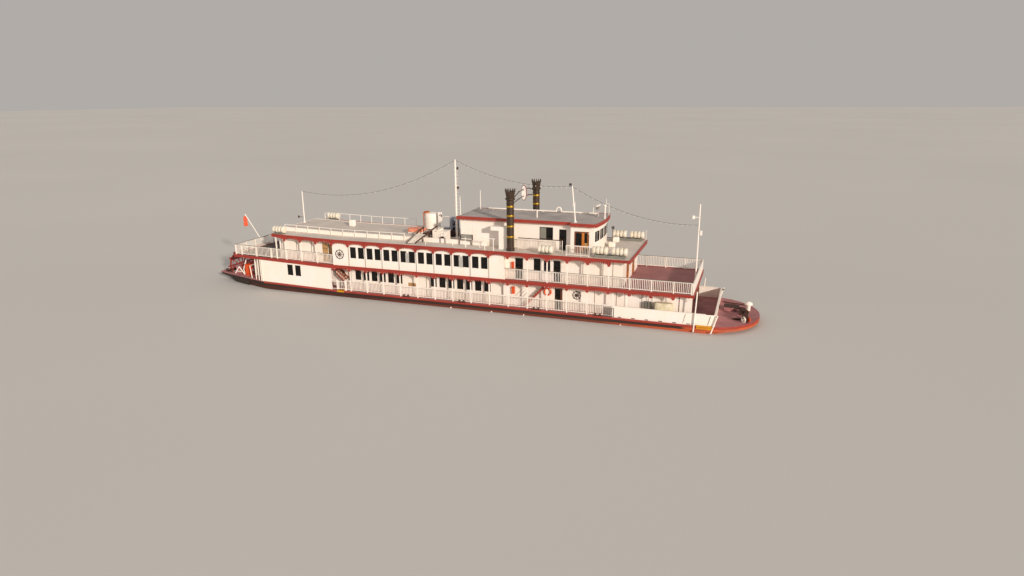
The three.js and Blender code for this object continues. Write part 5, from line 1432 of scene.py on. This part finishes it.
def bow_edge(shape, out, thick, low, high, steps=16):
    """A band round the bow's quarter ellipses, from so far outside the deck's edge and so thick."""
    angles = [math.pi * (step / steps - 0.5) for step in range(steps + 1)]
    length = BOW_TIP - BOW_START
    outer, inner = ([(BOW_START + (length + grow) * math.cos(turn), (HALF_BEAM + grow) * math.sin(turn), low)
                     for turn in angles] for grow in (out, out - thick))
    plate(shape, outer + inner[::-1], (0, 0, high - low))


class STEAMER_OT_deck_gear(PieceOperator):
    """Bollards, fender poles, the crate, the saloon's wings and the gear on the foredeck"""
    bl_idname = "steamer.deck_gear"
    bl_label = "Deck Gear"

    def build(self, sizes):
        iron, cream, orange, seams, crate, red = new_shapes(6)
        # Red edge of the main deck above the strake
        bow_edge(red, 0.025, 0.024, 0.52, MAIN + 0.005)
        for side in BOTH:
            strip(red, -5.0, BOW_START, side * (HALF_BEAM + 0.001), side * (HALF_BEAM + 0.025), 0.52,
                  MAIN + 0.005)
            # Pairs of bollards on the deck's edge
            for x in BOLLARD_PLACES:
                box(iron, x - 0.42, x + 0.42, side * 4.74, side * 4.86, MAIN - 0.07, MAIN + 0.04)
                for way in BOTH:
                    bollard(iron, x + way * 0.22, side * 4.78, MAIN + 0.03, 0.07, 0.22)
            # Fender poles down both sides of the bow
            top = 3.74 if side < 0 else 2.55
            rod(cream, (39.86 + 0.04 * (top - 0.13), side * 4.88, top), (39.86, side * 4.88, 0.13), 0.06, 10)
            rod(cream, (41.8, side * 4.78, 1.75), (41.32, side * 4.88, 0.11), 0.06, 10)
            for x, z in ((39.96, 2.9) if side < 0 else (39.91, 1.6), (39.88, 0.85)):
                box(iron, x - 0.08, x + 0.08, side * 4.7, side * 4.86, z, z + 0.06)
            for x, z in ((41.75, 1.55), (41.42, 0.6)):
                box(iron, x - 0.08, x + 0.08, side * 4.5, side * 4.8, z, z + 0.06)
            # Bulwark: capping, freeing ports and seams
            box(cream, 32.8, 40.8, side * 4.62, side * 4.78, MAIN + 1.021, MAIN + 1.065)
            for x in (33.4, 34.6, 35.8, 37.0, 38.2, 39.4):
                box(iron, x - 0.16, x + 0.16, side * 4.735, side * 4.748, MAIN + 0.03, MAIN + 0.1)
            for x in (38.9, 41.0):
                plate(seams, [(x, side * 4.735, MAIN + 0.12), (x + 0.04, side * 4.735, MAIN + 0.12),
                              (x + 0.24, side * 4.735, MAIN + 0.92), (x + 0.2, side * 4.735, MAIN + 0.92)],
                      (0, side * 0.012, 0))
            # Discharge outlets below the strake
            for x in OUTLETS:
                turned(cream, OUTLET_PROFILE, (x, side * 4.69, OUTLET_HEIGHT), axis=(0, side, 0), steps=14)
            self.ladder(cream, side)
        box(cream, 41.51, 41.62, -4.62, 4.62, MAIN + 1.021, MAIN + 1.065)
        # Saloon's side walls carried on to the upper deck's edge, with a door leaf folded behind each
        leaves = bmesh.new()
        for side in BOTH:
            box(cream, 38.47, 39.56, side * (INSET - 0.06), side * INSET, MAIN + 0.005, UPPER - SOFFIT)
            box(leaves, 39.5, 39.555, side * (INSET - 0.95), side * (INSET - 0.06), MAIN + 0.005, MAIN + 2.05)
        finish("saloon_door_leaves", leaves, "varnished_mahogany", "brown_timber")
        # Slatted crate behind the starboard bulwark
        for slat in range(8):
            z = MAIN + 0.1 + slat * 0.19
            box(crate, 35.48, 36.04, -4.3, -3.97, z, z + 0.13)
        for x in (35.5, 35.76, 36.02):
            box(iron, x - 0.02, x + 0.02, -4.32, -4.3, MAIN + 0.08, MAIN + 1.62)
        self.foredeck(iron, cream, orange)
        finish("deck_fittings_iron", iron, *IRON)
        finish("deck_fittings_cream", cream, *CREAM)
        finish("windlass_wheels", orange, *ORANGE)
        finish("bulwark_seams", seams, "joint_mastic", "white_paint")
        finish("deck_crate", crate, "flat_paint_grey", "brown_timber")
        finish("deck_edge", red, *RED)

    def ladder(self, shape, side):
        """A short ladder on the saloon's wall."""
        y = side * (INSET + 0.07)
        for x in (35.85, 36.15):
            rod(shape, (x, y, 1.69), (x, y, 2.6), 0.025, 6)
            for z in (1.75, 2.5):
                rod(shape, (x, side * (INSET - 0.01), z), (x, y, z), 0.02, 6)
        for step in range(4):
            z = 1.8 + step * 0.22
            rod(shape, (35.85, y, z), (36.15, y, z), 0.02, 6)

    def foredeck(self, iron, cream, orange):
        """Chain, mooring rail, vent cap, machinery and the windlass wheels."""
        box(iron, 42.05, 43.4, 0.3, 1.38, MAIN + 0.385, MAIN + 0.42)
        for index in range(25):
            x = 41.85 + index * 0.1
            y = 3.28 - index * 0.024 + 0.05 * math.sin(index)
            axis = (0, 1, 0) if index % 2 else (0, 0.3, 1)
            ring(iron, (x, y, MAIN + 0.05), axis, 0.06, 0.026, steps=8, sides=5)
        rod(iron, (42.1, 1.6, MAIN + 0.12), (43.7, 1.35, MAIN + 0.12), 0.1, 10)
        for x, y in ((42.2, 1.58), (43.6, 1.37)):
            box(iron, x - 0.08, x + 0.08, y - 0.1, y + 0.1, MAIN + 0.003, MAIN + 0.1)
        cap = [(0.18, 0.0), (0.19, 0.53), (0.35, 0.54), (0.37, 0.62), (0.3, 0.73), (0.18, 0.82), (0.0, 0.85)]
        turned(cream, cap, (44.2, 1.25, MAIN + 0.003), steps=24)
        box(iron, 43.45, 44.15, -0.45, 0.25, MAIN + 0.003, MAIN + 0.3)
        rod(iron, (43.8, -0.4, MAIN + 0.38), (43.8, 0.2, MAIN + 0.38), 0.2, 14)
        rod(iron, (42.9, -2.1, MAIN + 0.1), (43.7, -1.95, MAIN + 0.1), 0.08, 8)
        axle = Vector((0.75, 0.66, 0))
        for x, y, radius, shape in ((43.88, -2.74, 0.24, cream), (44.3, -2.45, 0.2, orange)):
            hub = Vector((x, y, MAIN + radius + 0.06))
            ring(shape, hub, axle, radius, 0.055, steps=20, sides=6)
            rod(shape, hub - axle * 0.06, hub + axle * 0.06, 0.08, 10)
            for spoke in range(6):
                angle = math.pi * spoke / 3
                reach = Vector((-axle.y * math.cos(angle), axle.x * math.cos(angle), math.sin(angle)))
                rod(shape, hub, hub + reach * radius, 0.025, 6)


class STEAMER_OT_stern_gear(PieceOperator):
    """A-frames, struts, lockers and pilasters round the wheel"""
    bl_idname = "steamer.stern_gear"
    bl_label = "Stern Gear"

    def build(self, sizes):
        cream, orange, iron = new_shapes(3)
        for side in BOTH:
            y = side * 3.27
            deck = MAIN + rise(-8.8)
            head = Vector((-9.5, y, 1.78))
            rod(cream, (-8.15, side * 3.2, UPPER - 0.12 + rise(-8.15)), (-8.9, y, 1.58), 0.06, 8)
            for foot in ((-10.1, y, MAIN + rise(-10.1)), (-8.8, y, deck)):
                rod(cream, head, foot, 0.06, 8)
            rod(cream, (-9.82, y, 1.25), (-9.12, y, 1.25), 0.04, 8)
            rod(cream, (-8.9, y, 1.58), (-8.8, y, deck), 0.05, 8)
            box(orange, -8.44, -7.94, side * 3.1, side * 3.55, MAIN + rise(-8.2) + 0.003, 2.15)
            box(orange, -8.47, -7.91, side * 3.08, side * 3.57, 2.15, 2.2)
            box(iron, -8.4, -7.98, side * 3.55, side * 3.565, 1.1, 1.14)
            rod(cream, (-7.24, side * 4.18, 2.27), (-7.08, side * 4.18, MAIN + rise(-7.08)), 0.05, 8)
            rod(cream, (-7.24, side * 4.18, 2.24), (-7.5, side * 3.02, 2.24), 0.04, 8)
            # Pilasters on the deck's edge, which narrows towards the stern
            for x in (-6.31, -5.85, -5.48):
                edge = side * (HALF_BEAM - 0.1 - 0.245 * (-5.0 - x))
                lift(rod(cream, (x, edge, MAIN), (x, edge, UPPER - SOFFIT), 0.05, 10))
            for x in (-11.4, -10.9):
                bollard(iron, x, side * 3.0, MAIN + rise(x), 0.1, 0.4)
        finish("stern_frames", cream, *CREAM)
        finish("stern_lockers", orange, *ORANGE)
        finish("stern_fittings", iron, *IRON)


# Distances to port of the wheel's three rings, and its floats
WHEEL_RINGS = (-2.35, 0, 2.35)
FLOATS = 12


class STEAMER_OT_paddle_wheel(PieceOperator):
    """Planks, bolts, braces and round rims on the paddle wheel, which turn with it"""
    bl_idname = "steamer.paddle_wheel"
    bl_label = "Paddle Wheel Details"

    def build(self, sizes):
        iron, rims = new_shapes(2)
        hub = Vector((WHEEL_X, 0, WHEEL_Z))
        for y in WHEEL_RINGS:
            ring(rims, hub + Vector((0, y, 0)), (0, 1, 0), 1.42, 0.03, steps=48, sides=6)
            ring(rims, hub + Vector((0, y, 0)), (0, 1, 0), 1.0, 0.022, steps=48, sides=6)
            for way in BOTH:
                rod(iron, hub + Vector((0, y + way * 0.08, 0)), hub + Vector((0, y + way * 0.14, 0)), 0.24,
                    12)
        for index in range(FLOATS):
            angle = 2 * math.pi * index / FLOATS
            out = Vector((math.sin(angle), 0, math.cos(angle)))
            along = Vector((math.cos(angle), 0, -math.sin(angle)))
            for y in WHEEL_RINGS:
                for reach in (1.55, 1.68, 1.82):
                    here = hub + out * reach + Vector((0, y, 0))
                    rod(iron, here - along * 0.055, here + along * 0.055, 0.028, 6)
            # Plank joints across the float
            for reach in (1.63, 1.79):
                here = hub + out * reach
                for way in BOTH:
                    low = here + along * way * 0.031
                    rod(iron, low + Vector((0, -2.58, 0)), low + Vector((0, 2.58, 0)), 0.007, 4)
            for start, end in zip(WHEEL_RINGS, WHEEL_RINGS[1:]):
                rod(rims, hub + out * 0.3 + Vector((0, start, 0)), hub + out * 1.4 + Vector((0, end, 0)),
                    0.016, 5)
        finish("wheel_bolts", iron, *IRON, "wheel")
        finish("wheel_rims", rims, *RED, "wheel")


# Soft goods
def cloth(name, width, length, across, along, place, material, slot):
    """A sheet of cloth from a grid whose UV map holds metres of flat cloth, shaped by place(u, v)."""
    shape = bmesh.new()
    bmesh.ops.create_grid(shape, x_segments=across, y_segments=along, size=0.5)
    layer = shape.loops.layers.uv.new("cloth")
    for face in shape.faces:
        for loop in face.loops:
            loop[layer].uv = ((loop.vert.co.x + 0.5) * width, (loop.vert.co.y + 0.5) * length)
    for vert in shape.verts:
        vert.co = place(vert.co.x + 0.5, vert.co.y + 0.5)
    return finish(name, shape, material, slot)


def draped(u, v, middle, half, low, high, crown, fold):
    """Where a point lies of a sheet draped over a rounded load: flat above, then down in folds, with its
    corners gathered at the foot."""
    along, across = 2 * v - 1, 2 * u - 1
    spread = (along ** 4 + across ** 4) ** 0.25
    if spread < 1e-6:
        return Vector((middle[0], middle[1], high))
    angle = math.atan2(across, along)
    reach = min(1.0, spread / 0.62)
    down = min(1.0, max(0.0, (spread - 0.55) / 0.45))
    fall = down * down * (3 - 2 * down)
    waves = fold * down * (math.sin(9 * angle) + 0.5 * math.sin(17 * angle + 1.0))
    loose = max(0.0, spread - 1.0)
    grown = reach + waves + 0.25 * loose
    x = middle[0] + half[0] * grown * along / spread
    y = middle[1] + half[1] * grown * across / spread
    z = high - crown * (across * reach) ** 2 - (high - crown - low) * fall
    return Vector((x, y, z + 0.02 * math.sin(5 * along + 3 * across) * (1 - down)))


class STEAMER_OT_ensign(PieceOperator):
    """The slack ensign, one sheet of bunting that hangs in folds below the staff's head"""
    bl_idname = "steamer.ensign"
    bl_label = "Ensign"

    def build(self, sizes):
        top, drop = 6.93, 1.2

        def place(u, v):
            # u runs across the folds from the fly to the staff, v from the head down
            hoist = min(-10.42, -10.66 + 0.66 * drop * v)
            fly = -10.98 - 0.05 * math.sin(2.4 * v)
            x = fly + (hoist - fly) * u
            swing = 0.03 + 0.035 * v
            y = -0.075 + swing * math.sin(u * 15 + 0.6 * math.sin(3 * v)) + 0.012 * math.sin(u * 29 + 4 * v)
            z = top - drop * v - 0.05 * math.sin(3.1 * u) * (1 - v) - 0.03 * math.sin(6 * u) * v
            return Vector((x, y, z - 0.12 * (1 - u) * (1 - v)))

        flag = cloth("ensign_cloth", 0.38, 0.58, 60, 44, place, "woven_bunting_red", "flag_cloth")
        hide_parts("ensign")


class STEAMER_OT_covers(PieceOperator):
    """The stowed boat under its laced cover, and the canvas over the crates on the main deck"""
    bl_idname = "steamer.covers"
    bl_label = "Covers"

    def build(self, sizes):
        hull = bmesh.new()
        low = RAISED + 0.08
        deck = [(10.72, -1.34), (12.1, -1.4), (12.42, -0.83), (12.1, -0.26), (10.72, -0.32)]
        plate(hull, [(x, y, low) for x, y in deck], (0, 0, 0.3))
        foot = [edge for edge in hull.edges if all(vert.co.z < low + 0.01 for vert in edge.verts)]
        bmesh.ops.bevel(hull, geom=foot, offset=0.14, affect="EDGES", segments=3, profile=0.5, material=-1)
        finish("stowed_boat_hull", hull, *WHITE_SHELL)
        cover = cloth("boat_cover_canvas", 0.92, 1.08, 48, 60, lambda u, v: draped(
            u, v, (11.55, -0.83), (0.92, 0.68), RAISED + 0.24, RAISED + 0.56, 0.12, 0.03),
            "coated_canvas_orange", "orange_cover")
        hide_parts("covered_boat")

        crates = bmesh.new()
        for x0, x1, top in ((36.5, 37.2, 2.25), (37.25, 37.9, 2.15)):
            box(crates, x0, x1, -4.5, -4.08, MAIN + 0.003, top)
        finish("crates_under_canvas", crates, "oiled_pine", "brown_timber")
        canvas = cloth("deck_canvas", 1.15, 1.5, 44, 60, lambda u, v: draped(
            u, v, (37.2, -4.29), (0.8, 0.3), MAIN + 0.04, 2.35, 0.06, 0.04),
            "coated_canvas_beige", "brown_timber")


# A low warm key from ahead of the starboard beam, and a weak cool fill from the quarter
# Columns: name, strength, colour, angle across, heading
LIGHTS = [
    ("key_light", 3.2, "#fff4e8", 3.0, (-0.72, 0.64, -0.28)),
    ("fill_light", 0.25, "#dfe8ff", 40.0, (0.7, 0.6, -0.5)),
]
# Camera, solved from the fascia's even bays: place on the model, yaw, pitch and roll in degrees, focal length
CAMERA_PLACE = (13.845, -31.73, 9.935)
CAMERA_ANGLES = (-19.664, 15.502, -0.337)
FOCAL_PIXELS, PHOTO_WIDTH, SENSOR_MM = 691.73, 1024, 36.0


class STEAMER_OT_stage(bpy.types.Operator):
    """Pale floor at the waterline, soft studio lights and the camera at the photograph's angle"""
    bl_idname = "steamer.stage"
    bl_label = "Stage"

    def execute(self, context):
        shape = bmesh.new()
        bmesh.ops.create_grid(shape, x_segments=1, y_segments=1, size=600)
        mesh = bpy.data.meshes.new("studio_floor")
        shape.to_mesh(mesh)
        shape.free()
        floor = bpy.data.objects.new("studio_floor", mesh)
        context.scene.collection.objects.link(floor)
        tree, place, surface = new_material("matt_studio_floor", roughness=0.85)
        cloud = add_node(tree, "ShaderNodeTexNoise", {"Vector": place, "Scale": 0.02, "Detail": 2.0})
        colour = add_node(tree, "ShaderNodeValToRGB", {"Fac": cloud.outputs["Fac"]},
                          stops=[(0.3, linear("#cdcac4")), (0.7, linear("#d2cfc9"))])
        tree.links.new(colour.outputs["Color"], surface.inputs["Base Color"])
        mesh.materials.append(bpy.data.materials["matt_studio_floor"])

        world = bpy.data.worlds.new("studio_world")
        world.use_nodes = True
        world.node_tree.nodes.clear()
        sky = add_node(world.node_tree, "ShaderNodeBackground",
                       {"Color": linear("#ece6e1"), "Strength": 0.52})
        add_node(world.node_tree, "ShaderNodeOutputWorld", {"Surface": sky.outputs["Background"]})
        context.scene.world = world
        context.scene.view_settings.view_transform = "Standard"

        for name, energy, colour, angle, heading in LIGHTS:
            light = bpy.data.lights.new(name, "SUN")
            light.energy = energy
            light.color = linear(colour)[:3]
            light.angle = math.radians(angle)
            lamp = bpy.data.objects.new(name, light)
            lamp.rotation_euler = Vector(heading).to_track_quat("-Z", "Y").to_euler()
            context.scene.collection.objects.link(lamp)

        camera = bpy.data.cameras.new("photo_camera")
        camera.sensor_width = SENSOR_MM
        camera.lens = SENSOR_MM * FOCAL_PIXELS / PHOTO_WIDTH
        camera.clip_end = 2000
        viewer = bpy.data.objects.new("photo_camera", camera)
        yaw, pitch, roll = (math.radians(angle) for angle in CAMERA_ANGLES)
        forward = Vector((math.sin(yaw) * math.cos(pitch), math.cos(yaw) * math.cos(pitch), -math.sin(pitch)))
        right = Vector((math.cos(yaw), -math.sin(yaw), 0))
        up = right.cross(forward)
        level = right * math.cos(roll) + up * math.sin(roll)
        upright = up * math.cos(roll) - right * math.sin(roll)
        turn = Matrix((level, upright, -forward)).transposed().to_4x4()
        viewer.matrix_world = Matrix.Translation(CAMERA_PLACE) @ turn
        context.scene.collection.objects.link(viewer)
        context.scene.camera = viewer
        return {"FINISHED"}


OPERATORS = [
    STEAMER_OT_finishes, STEAMER_OT_fascia_trim, STEAMER_OT_balusters, STEAMER_OT_windows, STEAMER_OT_doors,
    STEAMER_OT_wheelhouse_doors, STEAMER_OT_wall_panels, STEAMER_OT_wheel_emblems, STEAMER_OT_safety_gear,
    STEAMER_OT_stairs, STEAMER_OT_funnels, STEAMER_OT_raised_roof, STEAMER_OT_house_trim,
    STEAMER_OT_liferafts, STEAMER_OT_roof_gear, STEAMER_OT_rigging, STEAMER_OT_deck_gear,
    STEAMER_OT_stern_gear, STEAMER_OT_paddle_wheel, STEAMER_OT_ensign, STEAMER_OT_covers, STEAMER_OT_stage,
]


class STEAMER_PT_panel(bpy.types.Panel):
    """Lists the steps that dress the ship"""
    bl_idname = "STEAMER_PT_panel"
    bl_label = "Paddle Steamer"
    bl_space_type = "VIEW_3D"
    bl_region_type = "UI"
    bl_category = "Steamer"

    def draw(self, context):
        layout = self.layout
        for settings in (context.scene.steamer_colours, context.scene.steamer_sizes):
            for name in settings.__annotations__:
                layout.prop(settings, name)
        for operator in OPERATORS:
            layout.operator(operator.bl_idname)


CLASSES = [SteamerColours, SteamerSizes, *OPERATORS, STEAMER_PT_panel]


def register():
    for item in CLASSES:
        bpy.utils.register_class(item)
    bpy.types.Scene.steamer_colours = bpy.props.PointerProperty(type=SteamerColours)
    bpy.types.Scene.steamer_sizes = bpy.props.PointerProperty(type=SteamerSizes)


def unregister():
    del bpy.types.Scene.steamer_sizes
    del bpy.types.Scene.steamer_colours
    for item in reversed(CLASSES):
        bpy.utils.unregister_class(item)


def main():
    register()
    for operator in OPERATORS:
        group, name = operator.bl_idname.split(".")
        getattr(getattr(bpy.ops, group), name)()
    bpy.context.view_layer.update()


if __name__ == "__main__":
    main()
